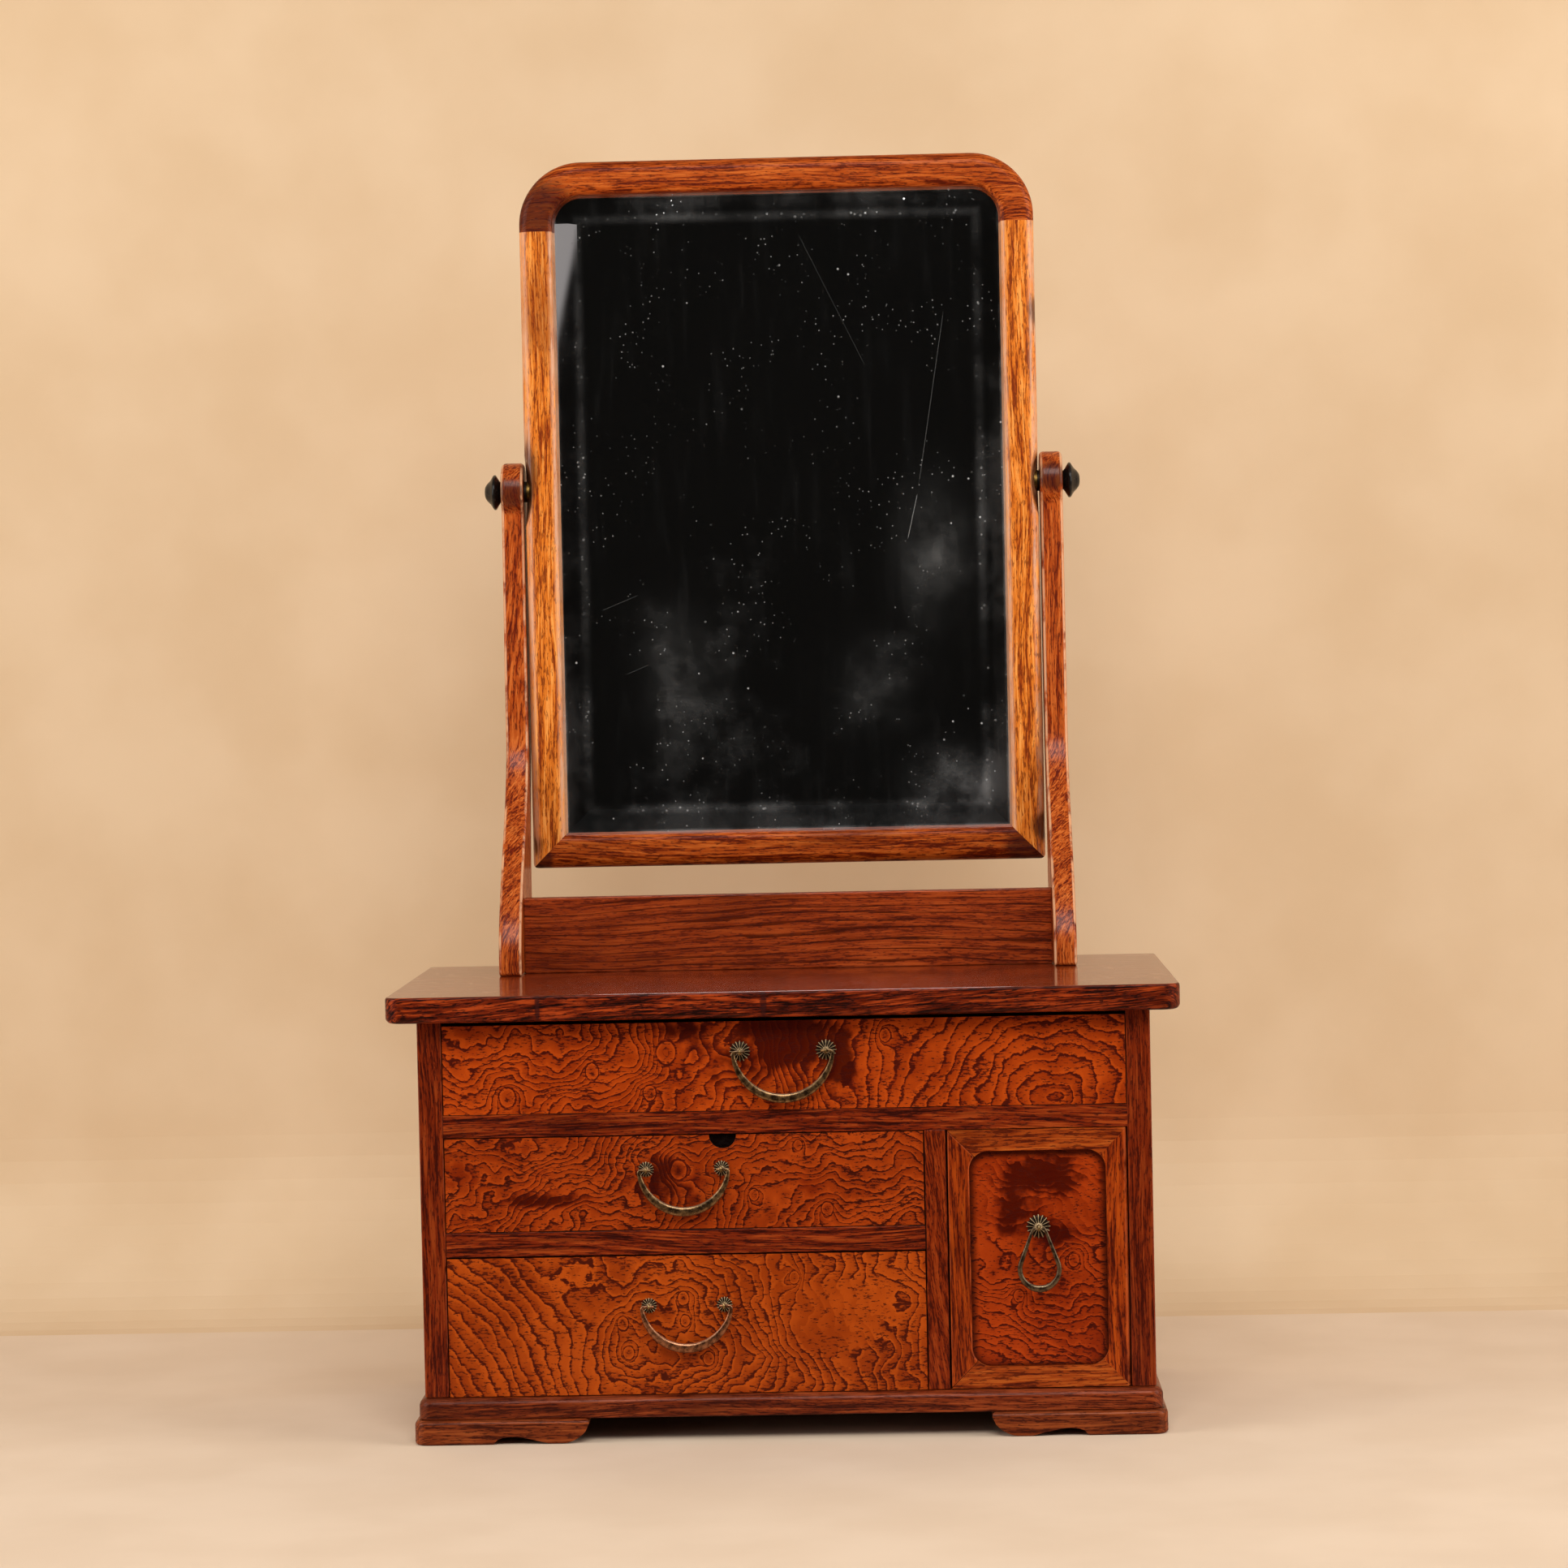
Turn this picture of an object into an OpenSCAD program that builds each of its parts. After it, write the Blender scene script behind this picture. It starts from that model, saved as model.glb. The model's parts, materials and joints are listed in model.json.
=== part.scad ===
// Dressing-mirror stand: a swing mirror between two swept posts, on a small
// cabinet with three drawers and one panelled door. Sizes are in millimetres.
// X runs to the right, Y to the back and Z up, and the feet stand on Z = 0.

/* [Case] */
// Width of the case across its two side boards
case_w = 421; // [380:1:470]
// Depth of the case from its front edges to its back
case_d = 221; // [200:1:260]
// Thickness of each side board
side_t = 14; // [11:0.5:18]
// Thickness of the back board
back_t = 6; // [4:0.5:8]
// Thickness of the two shelves that the drawers run on
shelf_t = 6; // [4:0.5:8]
// Thickness of the partition between the drawers and the cupboard
partition_t = 12.5; // [9:0.5:16]
// Height of the opening for the top drawer
top_opening_h = 54.5; // [48:0.5:70]
// Height of the opening for the middle drawer
middle_opening_h = 54.8; // [48:0.2:70]
// Height of the opening for the bottom drawer
bottom_opening_h = 80.7; // [70:0.1:100]
// Height of the front rail under the top drawer
upper_rail_h = 13; // [10:0.5:18]
// Height of the front rail under the middle drawer
lower_rail_h = 14.4; // [10:0.2:18]
// Depth of the two front rails
rail_d = 26; // [18:1:40]
// Width of the cupboard opening
door_opening_w = 104.2; // [90:0.2:125]

/* [Top board] */
// Thickness of the top board
top_t = 15; // [13:0.5:20]
// How far the top board reaches past each side board
top_side_overhang = 17; // [10:0.5:25]
// How far the top board reaches past the drawer fronts
top_front_overhang = 15; // [12:0.5:22]
// How far the top board reaches past the back of the case
top_back_overhang = 6; // [0:0.5:12]
// Radius of the front corners of the top board, seen from above
top_corner_r = 10; // [8:0.5:14]
// Radius of the rounding along the upper edge of the top board
top_edge_r = 1.5; // [1:0.5:5]
// Radius of the rounding along the lower edge of the top board
top_under_r = 3.5; // [1:0.5:6.5]

/* [Base board and feet] */
// Thickness of the base board
base_t = 12.5; // [10:0.5:16]
// How far the base board reaches past the front and the sides of the case
base_overhang = 3.8; // [2:0.2:6]
// Radius of the front corners of the base board, seen from above
base_corner_r = 8; // [6:0.5:12]
// Radius of the rounding along the upper edge of the base board
base_edge_r = 5; // [3:0.5:6]
// Radius of the rounding along the lower edge of the base board
base_under_r = 1; // [0.5:0.5:3]
// Height of the feet
foot_h = 14.2; // [12:0.2:20]
// How far the feet reach past the base board
foot_overhang = 2.5; // [0:0.5:5]
// Radius of the rounding along the upper edge of the feet
foot_edge_r = 3; // [1:0.5:5]
// Radius of the rounding along the lower edge of the feet
foot_under_r = 2; // [0.5:0.5:3]
// Thickness of the foot boards
foot_t = 15; // [11:0.5:20]
// Length of each front bracket from the corner to the tip of its toe
bracket_l = 101; // [90:1:130]
// Length of the curved toe of a bracket
toe_l = 16.6; // [10:0.2:24]
// Height of the hollow under a bracket
hollow_h = 4.6; // [2:0.2:7]
// Length of the hollow under a bracket
hollow_l = 34; // [20:1:40]

/* [Posts] */
// Thickness of each post
post_t = 14; // [11:0.5:18]
// Distance of the posts from the front edge of the top board
post_setback = 150; // [135:1:158]
// Depth of a post where it stands on the top board
post_foot_d = 84; // [70:1:88]
// How far a post sweeps back between its foot and its head
post_sweep = 81; // [60:1:95]
// Height above the top board at which the sweep starts
sweep_from = 8; // [4:1:20]
// Height above the top board at which the sweep ends
sweep_to = 145; // [125:1:155]
// How much higher than the front edge the back edge of a post sweeps
sweep_lag = 38; // [10:1:50]
// Depth of the straight stem above the sweep
stem_d = 24; // [20:0.5:28]
// Radius of the round head of a post
head_r = 18; // [15:0.5:22]
// Height of the pivot above the top board
pivot_h = 297; // [280:1:320]
// Length of the tenons at the foot of the posts
post_tenon_l = 10; // [6:0.5:11]
// Height of the cross board between the posts
cross_board_h = 46; // [36:1:52]
// Thickness of the cross board
cross_board_t = 12; // [8:0.5:15]
// Distance of the cross board from the front of the posts
cross_board_setback = 21; // [18:0.5:26]

/* [Mirror] */
// Width of the mirror frame
mirror_w = 320.4; // [290:0.2:350]
// Height of the mirror frame
mirror_h = 440; // [400:1:480]
// Width of the frame members
frame_w = 20.5; // [18:0.5:24]
// Thickness of the frame from front to back
frame_t = 24; // [22:0.5:28]
// Outer radius of the upper corners of the frame
mirror_corner_r = 39; // [34:0.5:50]
// Height of the pivot above the bottom of the frame
pivot_above_bottom = 236; // [225:1:244]
// Distance of the pivot behind the front of the frame
pivot_behind_front = 16; // [14:0.5:17]
// Gap between a stile and its post
mirror_gap = 1; // [0.5:0.1:2]
// Height of the top rail where a corner block is glued under it
rail_end_h = 17; // [14:0.5:17.5]
// Length of a corner block below its glue line
corner_block_h = 26; // [24:0.5:36]
// Length of the hollow in the outer front edge of a stile beside the pivot
scoop_l = 54; // [40:1:70]
// How far that hollow reaches in from the outer side at the front
scoop_depth = 5; // [3:0.2:6]
// How far it reaches back along the outer side
scoop_reach = 19; // [14:1:22]
// Radius of the lower corners of the frame
low_corner_r = 3.5; // [1:0.5:6]
// Thickness of the mirror glass
glass_t = 5; // [4:0.5:6]
// Width of the bevel round the glass
bevel_w = 20; // [12:0.5:21]
// How much thinner the bevel makes the edge of the glass
bevel_drop = 2; // [1:0.2:2.6]
// How far the rebate for the glass reaches behind the frame
rebate_w = 5; // [4:0.5:6]
// Distance of the rebate for the glass behind the front of the frame
rebate_setback = 8.5; // [7:0.5:9]
// Thickness of the wooden back panel
back_panel_t = 5; // [3:0.5:6]

/* [Pivots and knobs] */
// Radius of the pivot screws
screw_r = 2.9; // [2:0.1:3.5]
// Greatest radius of a knob
knob_r = 11; // [9:0.5:14]
// Length of a knob
knob_l = 11; // [9:0.2:14]
// Radius of a knob where it faces the post
knob_neck_r = 5.8; // [5:0.2:8]
// Radius of the washers and of the flange of the nuts
washer_r = 6.5; // [6:0.5:9]
// Thickness of the washers
washer_t = 1.2; // [0.8:0.1:1.6]
// Thickness of the flange of the nuts
flange_t = 1.8; // [1.2:0.2:2.4]
// Radius of the body of a nut
nut_r = 4.5; // [4:0.1:5.5]
// Depth of the body of a nut in its stile
nut_l = 9; // [7:0.5:10]

/* [Drawers] */
// Thickness of the drawer fronts
drawer_front_t = 13; // [11:0.5:16]
// Thickness of the drawer sides and backs
drawer_side_t = 7; // [5:0.5:9]
// Thickness of the drawer bottoms
drawer_bottom_t = 5; // [4:0.5:7]
// Radius of the notch in the upper edge of the middle drawer front
notch_r = 7.8; // [5:0.2:10]
// Distance of the notch to the right of the middle drawer's centre
notch_off = 22.6; // [10:0.2:40]
// Depth of the notch
notch_d = 3; // [2:0.5:4]

/* [Door] */
// Thickness of the door
door_t = 13; // [11:0.5:14]
// Width of the door frame members
door_member_w = 12.3; // [10:0.1:16]
// Radius of the inner corners of the door frame
door_opening_r = 11; // [8:0.5:16]
// Thickness of the door panel
door_panel_t = 5; // [4:0.5:6]
// Distance of the panel behind the face of the door
door_panel_setback = 3; // [2:0.5:4]
// Distance of the hinge pins behind the face of the door
hinge_from_face = 4; // [3:0.1:5]
// Distance of the hinge pins from the edge of the door
hinge_from_edge = 7; // [6.5:0.1:8]
// Rounding of the door's front corner at the hinge side
hinge_corner_r = 3; // [2.5:0.1:4]
// Radius of the hinge pins
hinge_pin_r = 1.5; // [1:0.1:1.8]

/* [Handles] */
// Width of the bail on the top drawer
large_bail_w = 59.5; // [50:0.5:70]
// Width of the bails on the two lower drawers
small_bail_w = 53.5; // [46:0.5:64]
// Width of a bail bar at its lowest point
bail_mid_w = 5.4; // [4:0.1:7]
// Width of a bail bar at its ends
bail_end_w = 2; // [1.6:0.1:2.6]
// Thickness of a bail bar from front to back
bail_t = 3; // [2:0.1:3.6]
// How far a bail stands outside the eye that carries it
bail_end_reach = 4; // [3:0.1:5]
// Radius of the pins that turn in the eyes
bail_pin_r = 0.8; // [0.6:0.05:1]
// Distance of the eyes in front of the wood
eye_out = 5.5; // [5:0.1:7]
// Radius of the head round an eye
eye_r = 2.1; // [1.8:0.1:2.6]
// Radius of the shank of an eye
shank_r = 1.2; // [0.9:0.1:1.5]
// Radius of the rosettes on the top drawer
large_rosette_r = 6; // [5:0.1:8]
// Radius of the rosettes on the two lower drawers
small_rosette_r = 4.6; // [4:0.1:6]
// Radius of the rosette on the door
door_rosette_r = 6.9; // [5:0.1:8]
// Number of flutes round a rosette
flutes = 16; // [10:1:24]
// Height of the eyes above the centre of the top drawer
top_handle_up = 8.2; // [0:0.1:10]
// Height of the eyes above the centre of the middle drawer
middle_handle_up = 7.5; // [0:0.5:10]
// Height of the eyes above the centre of the bottom drawer
bottom_handle_up = 11; // [0:0.5:16]
// Height of the eye above the centre of the door
door_handle_up = 18; // [0:0.5:24]
// Distance from the door's eye to the bottom of its ring
ring_h = 37; // [30:0.5:44]
// Width of the door ring
ring_w = 25.4; // [20:0.2:30]
// Width of the ring's bar at its lowest point
ring_low_w = 4.2; // [3:0.1:5]
// Width of the ring's bar near the eye
ring_neck_w = 1.6; // [1.2:0.1:2]

/* [Clearances] */
// Gap at each side of a drawer
drawer_side_gap = 0.5; // [0.3:0.1:0.8]
// Gap above a drawer
drawer_top_gap = 0.6; // [0.4:0.1:1]
// How much lower still the top drawer front stays, clear of the top board
top_drawer_drop = 2.4; // [0:0.2:4]
// Gap under a drawer
drawer_bottom_gap = 0.3; // [0.3:0.1:0.5]
// Gap between the door and the case at its hinge side, top and bottom
door_gap = 0.5; // [0.4:0.1:0.8]
// Gap between the door and the partition at its free side
door_free_gap = 0.8; // [0.7:0.1:1.2]
// Gap round the glass and the back panel in their rebate
glass_gap = 0.5; // [0.2:0.1:1]
// Running clearance of pins and screws in their bores
run_gap = 0.08; // [0.05:0.01:0.1]
// Gap between faces that turn past each other
turn_gap = 0.3; // [0.3:0.05:0.5]

/* [Hidden] */
$fn = 48;
cut = 1; // how far a cutting shape reaches past the wood it cuts

// Levels, from the floor up
base_z = foot_h;
floor_z = base_z + base_t;
lower_rail_z = floor_z + bottom_opening_h;
middle_z = lower_rail_z + lower_rail_h;
upper_rail_z = middle_z + middle_opening_h;
upper_z = upper_rail_z + upper_rail_h;
top_z = upper_z + top_opening_h;
deck_z = top_z + top_t;
pivot_z = deck_z + pivot_h;
mirror_z = pivot_z - pivot_above_bottom;
mirror_top_z = mirror_z + mirror_h;

// Widths
side_x = case_w / 2;
inner_x = side_x - side_t;
partition_right = inner_x - door_opening_w;
partition_left = partition_right - partition_t;
top_w = case_w + 2 * top_side_overhang;
base_x = side_x + base_overhang;
foot_x = base_x + foot_overhang;
post_in_x = mirror_w / 2 + mirror_gap;
post_out_x = post_in_x + post_t;

// Depths: the origin lies half way between the front edge of the top board
// and the back of the post heads
pivot_from_top_front = post_setback + post_sweep + head_r;
overall_d = pivot_from_top_front + head_r;
top_front_y = -overall_d / 2;
front_y = top_front_y + top_front_overhang;
back_y = front_y + case_d;
post_front_y = top_front_y + post_setback;
pivot_y = top_front_y + pivot_from_top_front;
mirror_y = pivot_y - pivot_behind_front;

// Joints of the case
tenon_l = 6;
tenon_shoulder = 2;
tenon_setback = 6;
shelf_housing = 4;
back_rabbet = 7;

// Drawers as [left, right, bottom, top, eye height, bail width, rosette radius]
function drawer(left, right, bottom, top, handle_up, bail_w, rosette_r) =
    [left, right, bottom, top, (bottom + top) / 2 + handle_up, bail_w, rosette_r];
TOP_DRAWER = drawer(-inner_x, inner_x, upper_z, top_z - top_drawer_drop,
                    top_handle_up, large_bail_w, large_rosette_r);
MIDDLE_DRAWER = drawer(-inner_x, partition_left, middle_z, upper_rail_z,
                       middle_handle_up, small_bail_w, small_rosette_r);
BOTTOM_DRAWER = drawer(-inner_x, partition_left, floor_z, lower_rail_z,
                       bottom_handle_up, small_bail_w, small_rosette_r);
function left_of(d) = d[0] + drawer_side_gap;
function right_of(d) = d[1] - drawer_side_gap;
function bottom_of(d) = d[2] + drawer_bottom_gap;
function top_of(d) = d[3] - drawer_top_gap;
function centre_of(d) = (d[0] + d[1]) / 2;
function eye_z_of(d) = d[4];
function bail_r_of(d) = d[5] / 2;
function eye_x_of(d) = bail_r_of(d) - bail_end_reach - bail_end_w / 2;
function rosette_r_of(d) = d[6];
drawer_lap = 5;
drawer_back_gap = 1.5;
drawer_end_y = back_y - back_t - drawer_back_gap;
drawer_side_drop = 3;
clinch_l = 5;
clinch_t = 1.4;

// Door
door_left = partition_right + door_free_gap;
door_right = inner_x - door_gap;
door_bottom = floor_z + door_gap;
door_top = upper_rail_z - door_gap;
door_x = (door_left + door_right) / 2;
door_z = (door_bottom + door_top) / 2;
door_eye_z = door_z + door_handle_up;
hinge_x = door_right - hinge_from_edge;
hinge_y = front_y + hinge_from_face;
hinge_pin_l = 8;
hinge_root_l = 5;
panel_lap = 4;
eye_y = front_y - eye_out;
rosette_height_share = 0.36;
flute_from_share = 0.35;
flute_r_share = 0.07;
flute_lift_share = 1.1;
pin_past_eye = 0.8;
neck_gap = 0.4;

// Mirror
top_corner_x = mirror_w / 2 - mirror_corner_r;
top_corner_z = mirror_top_z - mirror_corner_r;
glue_z = mirror_top_z - rail_end_h;
block_z = glue_z - corner_block_h;
plate_x = mirror_w / 2 - frame_w + rebate_w - glass_gap;
plate_bottom = mirror_z + frame_w - rebate_w + glass_gap;
plate_top = mirror_top_z - frame_w + rebate_w - glass_gap;
plate_r = mirror_corner_r - frame_w + rebate_w - glass_gap;
bevel_lap = rebate_w - glass_gap;
glass_y = mirror_y + rebate_setback - bevel_drop * (bevel_w - bevel_lap) / bevel_w;
panel_y = glass_y + glass_t;
sprig_r = 0.8;
sprig_l = 12;
sprig_y = panel_y + back_panel_t + sprig_r;
sprig_from_corner = 50;
sprig_below_pivot = 22;
scoop_r = (pow(scoop_l / 2, 2) + pow(scoop_depth, 2)) / (2 * scoop_depth);
scoop_lean = atan(scoop_depth / scoop_reach);
flange_x = post_in_x - washer_t - turn_gap;
seat_x = flange_x - flange_t;
screw_in_knob_l = 8;
nut_end_wall = 1;
screw_tip_x = seat_x - nut_l + nut_end_wall;

// A box between two corners
module block(low, high) {
    translate(low) cube(high - low);
}

// A flat outline in the XZ plane, given thickness t behind the plane y
module upright(y, t) {
    translate([0, y + t, 0]) rotate([90, 0, 0]) linear_extrude(t) children();
}

// A flat outline drawn as [y, z], given thickness from x to x + t
module sideways(x, t) {
    translate([x, 0, 0]) rotate([90, 0, 90]) linear_extrude(t) children();
}

// Everything on both sides, the right one as the left one's mirror image
module both_sides() {
    children();
    mirror([1, 0, 0]) children();
}

// A rectangle with round corners, from its low corner
module round_rect(w, h, r) {
    translate([r, 0]) square([w - 2 * r, h]);
    translate([0, r]) square([w, h - 2 * r]);
    for (x = [r, w - r], y = [r, h - r]) translate([x, y]) circle(r);
}

// The section of a board's edge: over is the upper rounding, under the lower one
module edge_section(w, t, over, under) {
    difference() {
        square([w, t]);
        for (x = [0, w]) {
            translate([x, 0]) difference() {
                square(2 * under, center = true);
                translate([x == 0 ? under : -under, under]) circle(under);
            }
            translate([x, t]) difference() {
                square(2 * over, center = true);
                translate([x == 0 ? over : -over, -over]) circle(over);
            }
        }
    }
}

// A board with round front corners and rounded edges, cut square at the back
module edged_board(half_w, y, d, z, t, corner_r, over, under) {
    intersection() {
        union() {
            translate([half_w - corner_r, 0, z]) rotate([90, 0, -90])
                linear_extrude(2 * (half_w - corner_r))
                    translate([-y - 2 * d, 0]) edge_section(2 * d, t, over, under);
            translate([0, y + corner_r, z]) rotate([90, 0, 180])
                linear_extrude(d) translate([-half_w, 0])
                    edge_section(2 * half_w, t, over, under);
            for (x = [corner_r - half_w, half_w - corner_r])
                translate([x, y + corner_r, z]) rotate_extrude()
                    intersection() {
                        translate([-corner_r, 0])
                            edge_section(2 * corner_r, t, over, under);
                        square([corner_r, t]);
                    }
        }
        block([-half_w, y, z], [half_w, y + d, z + t]);
    }
}

// A stub tenon at the end of a front rail; the board that it enters is cut to fit it
module rail_tenon(x, z, h, side) {
    far = x + side * tenon_l;
    block([min(x, far), front_y + tenon_setback, z + tenon_shoulder],
          [max(x, far), front_y + rail_d - tenon_shoulder, z + h - tenon_shoulder]);
}

module rail_upper() {
    color("saddlebrown") difference() {
        union() {
            block([-inner_x, front_y, upper_rail_z], [inner_x, front_y + rail_d, upper_z]);
            rail_tenon(-inner_x, upper_rail_z, upper_rail_h, -1);
            rail_tenon(inner_x, upper_rail_z, upper_rail_h, 1);
        }
        door_hinge_pins();
    }
}

module rail_lower() {
    color("saddlebrown") union() {
        block([-inner_x, front_y, lower_rail_z], [partition_left, front_y + rail_d, middle_z]);
        rail_tenon(-inner_x, lower_rail_z, lower_rail_h, -1);
        rail_tenon(partition_left, lower_rail_z, lower_rail_h, 1);
    }
}

module shelf_upper() {
    reach = inner_x + shelf_housing;
    color("tan") block([-reach, front_y + rail_d, upper_z - shelf_t],
                       [reach, back_y - back_t, upper_z]);
}

module shelf_lower() {
    color("tan") block([-inner_x - shelf_housing, front_y + rail_d, middle_z - shelf_t],
                       [partition_left + shelf_housing, back_y - back_t, middle_z]);
}

module back_board() {
    reach = inner_x + back_rabbet;
    color("tan") block([-reach, back_y - back_t, floor_z], [reach, back_y, top_z]);
}

module side_board() {
    block([-side_x, front_y, floor_z], [-inner_x, back_y, top_z]);
}

module side_board_left() {
    color("sienna") difference() {
        side_board();
        rail_upper();
        rail_lower();
        shelf_upper();
        shelf_lower();
        back_board();
    }
}

module side_board_right() {
    color("sienna") difference() {
        mirror([1, 0, 0]) side_board();
        rail_upper();
        shelf_upper();
        back_board();
    }
}

module partition() {
    color("sienna") difference() {
        block([partition_left, front_y, floor_z],
              [partition_right, back_y - back_t, upper_z - shelf_t]);
        rail_upper();
        rail_lower();
        shelf_lower();
    }
}

module top_board() {
    color("sienna") difference() {
        edged_board(top_w / 2, top_front_y, top_front_overhang + case_d + top_back_overhang,
                    top_z, top_t, top_corner_r, top_edge_r, top_under_r);
        post_tenon();
        mirror([1, 0, 0]) post_tenon();
    }
}

module base_board() {
    color("sienna") difference() {
        edged_board(base_x, front_y - base_overhang, case_d + base_overhang,
                    base_z, base_t, base_corner_r, base_edge_r, base_under_r);
        door_hinge_pins();
    }
}

// Feet: two front brackets and two side runners, mitred at the front corners
module foot_plan() {
    y = front_y - base_overhang - foot_overhang;
    edged_board(foot_x, y, back_y - y, 0, foot_h, base_corner_r, foot_edge_r, foot_under_r);
}

// The front view of the left bracket, as [distance from the corner, height]:
// the hollow is steepest at its outer end, and the toe is a squared quarter round
hollow_from_toe = 5;
hollow_lean = 0.6;
toe_squareness = 1.7;
toe_tip_z = foot_h * 0.82;
toe_nose_h = 1;
toe_nose_l = 2;
toe_nose_in = 0.4;
hollow_to = bracket_l - toe_l - hollow_from_toe;
hollow_steps = 12;
toe_steps = 8;
bracket_outline = concat(
    [[0, 0], [hollow_to - hollow_l, 0]],
    [for (i = [1:hollow_steps - 1]) let (t = i / hollow_steps)
        [hollow_to - hollow_l * (1 - t), hollow_h * sin(180 * pow(t, hollow_lean))]],
    [[hollow_to, 0], [bracket_l - toe_l, 0]],
    [for (i = [1:toe_steps]) let (t = i / toe_steps)
        [bracket_l - toe_l * (1 - t),
         toe_tip_z * (1 - pow(1 - pow(t, toe_squareness), 1 / toe_squareness))]],
    [[bracket_l - toe_nose_in, foot_h - toe_nose_h], [bracket_l - toe_nose_l, foot_h],
     [0, foot_h]]);

module front_foot() {
    y = front_y - base_overhang - foot_overhang;
    intersection() {
        translate([-foot_x, 0, 0]) upright(y, foot_t) polygon(bracket_outline);
        foot_plan();
        linear_extrude(foot_h)
            polygon([[-foot_x, y], [0, y], [0, y + foot_t], [-foot_x + foot_t, y + foot_t]]);
    }
}

module front_feet() {
    color("sienna") both_sides() front_foot();
}

module side_foot() {
    y = front_y - base_overhang - foot_overhang;
    intersection() {
        foot_plan();
        linear_extrude(foot_h)
            polygon([[-foot_x, y], [-foot_x + foot_t, y + foot_t],
                     [-foot_x + foot_t, back_y], [-foot_x, back_y]]);
    }
}

module side_feet() {
    color("sienna") both_sides() side_foot();
}

// Posts: front and back edges follow one smooth sweep
function ease(t) = t * t * (3 - 2 * t);
function sweep_share(h) = ease(min(1, max(0, (h - sweep_from) / (sweep_to - sweep_from))));
function post_front(h) = post_front_y + post_sweep * sweep_share(h)
    + (head_r - stem_d / 2) * ease(max(0, (h - sweep_to) / (pivot_h - sweep_to)));
stem_back_y = pivot_y + stem_d / 2;
function post_back(h) = post_front_y + post_foot_d
    + (stem_back_y - post_front_y - post_foot_d) * sweep_share(h - sweep_lag);
sweep_steps = 24;
stem_steps = 5;
sweep_end = sweep_to + sweep_lag;
post_heights = [for (i = [0:sweep_steps]) sweep_end * i / sweep_steps];

module post_side() {
    translate([0, deck_z]) polygon(concat(
        [for (h = post_heights) [post_front(h), h]],
        [for (i = [1:stem_steps]) let (h = sweep_end + (pivot_h - sweep_end) * i / stem_steps)
            [post_front(h), h]],
        [[stem_back_y, pivot_h]],
        [for (i = [sweep_steps:-1:0]) [post_back(post_heights[i]), post_heights[i]]]));
    translate([pivot_y, pivot_z]) circle(head_r);
}

module post_tenon() {
    block([-post_out_x + tenon_shoulder, post_front_y + tenon_setback, deck_z - post_tenon_l],
          [-post_in_x - tenon_shoulder, post_front_y + post_foot_d - tenon_setback, deck_z]);
}

module post() {
    difference() {
        union() {
            sideways(-post_out_x, post_t) post_side();
            post_tenon();
        }
        cross_board();
        translate([-post_out_x - cut, pivot_y, pivot_z]) rotate([0, 90, 0])
            cylinder(r = screw_r + run_gap, h = post_t + 2 * cut);
    }
}

module post_left() {
    color("peru") post();
}

module post_right() {
    color("peru") mirror([1, 0, 0]) post();
}

module cross_board() {
    y = post_front_y + cross_board_setback;
    reach = post_in_x + tenon_l;
    color("saddlebrown") union() {
        block([-post_in_x, y, deck_z],
              [post_in_x, y + cross_board_t, deck_z + cross_board_h]);
        block([-reach, y + tenon_shoulder, deck_z + tenon_setback],
              [reach, y + cross_board_t - tenon_shoulder, deck_z + cross_board_h - tenon_setback]);
    }
}

// Pivots: everything turned about the pivot line is drawn on the left side
module on_pivot(x) {
    translate([x, pivot_y, pivot_z]) rotate([0, 90, 0]) children();
}

module pivot_washers() {
    color("dimgray") both_sides() on_pivot(-post_in_x) difference() {
        cylinder(r = washer_r, h = washer_t);
        translate([0, 0, -cut]) cylinder(r = screw_r + run_gap, h = washer_t + 2 * cut);
    }
}

module pivot_screw() {
    on_pivot(-post_out_x - turn_gap - screw_in_knob_l)
        cylinder(r = screw_r, h = screw_in_knob_l + turn_gap + post_out_x - screw_tip_x);
}

module pivot_screw_left() {
    color("silver") pivot_screw();
}

module pivot_screw_right() {
    color("silver") mirror([1, 0, 0]) pivot_screw();
}

// A turned knob: a disc that thins to its rim, with a domed outer end
module knob() {
    bead_r = 0.6;
    bead_at = 1;
    rim_at = knob_l * 0.37;
    rim_t = knob_l * 0.08;
    slope_r = knob_r * 0.68;
    slope_at = knob_l * 0.66;
    nose_r = knob_r * 0.49;
    nose_l = knob_l * 0.16;
    nose_steps = 6;
    difference() {
        on_pivot(-post_out_x - turn_gap) rotate([180, 0, 0]) rotate_extrude()
            polygon(concat(
                [[0, 0], [knob_neck_r, 0], [knob_neck_r + bead_r, bead_at],
                 [knob_r, rim_at], [knob_r, rim_at + rim_t], [slope_r, slope_at]],
                [for (i = [0:nose_steps]) let (a = 90 * i / nose_steps)
                    [nose_r * cos(a), knob_l - nose_l + nose_l * sin(a)]]));
        pivot_screw();
    }
}

module knob_left() {
    color("black") knob();
}

module knob_right() {
    color("black") mirror([1, 0, 0]) knob();
}

module pivot_nut() {
    difference() {
        union() {
            on_pivot(-flange_x) cylinder(r = washer_r, h = flange_x - seat_x);
            on_pivot(-seat_x) cylinder(r = nut_r, h = nut_l);
        }
        on_pivot(-post_in_x) cylinder(r = screw_r + run_gap, h = post_in_x - screw_tip_x + turn_gap);
    }
}

module pivot_nuts() {
    color("darkgoldenrod") both_sides() pivot_nut();
}

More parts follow.
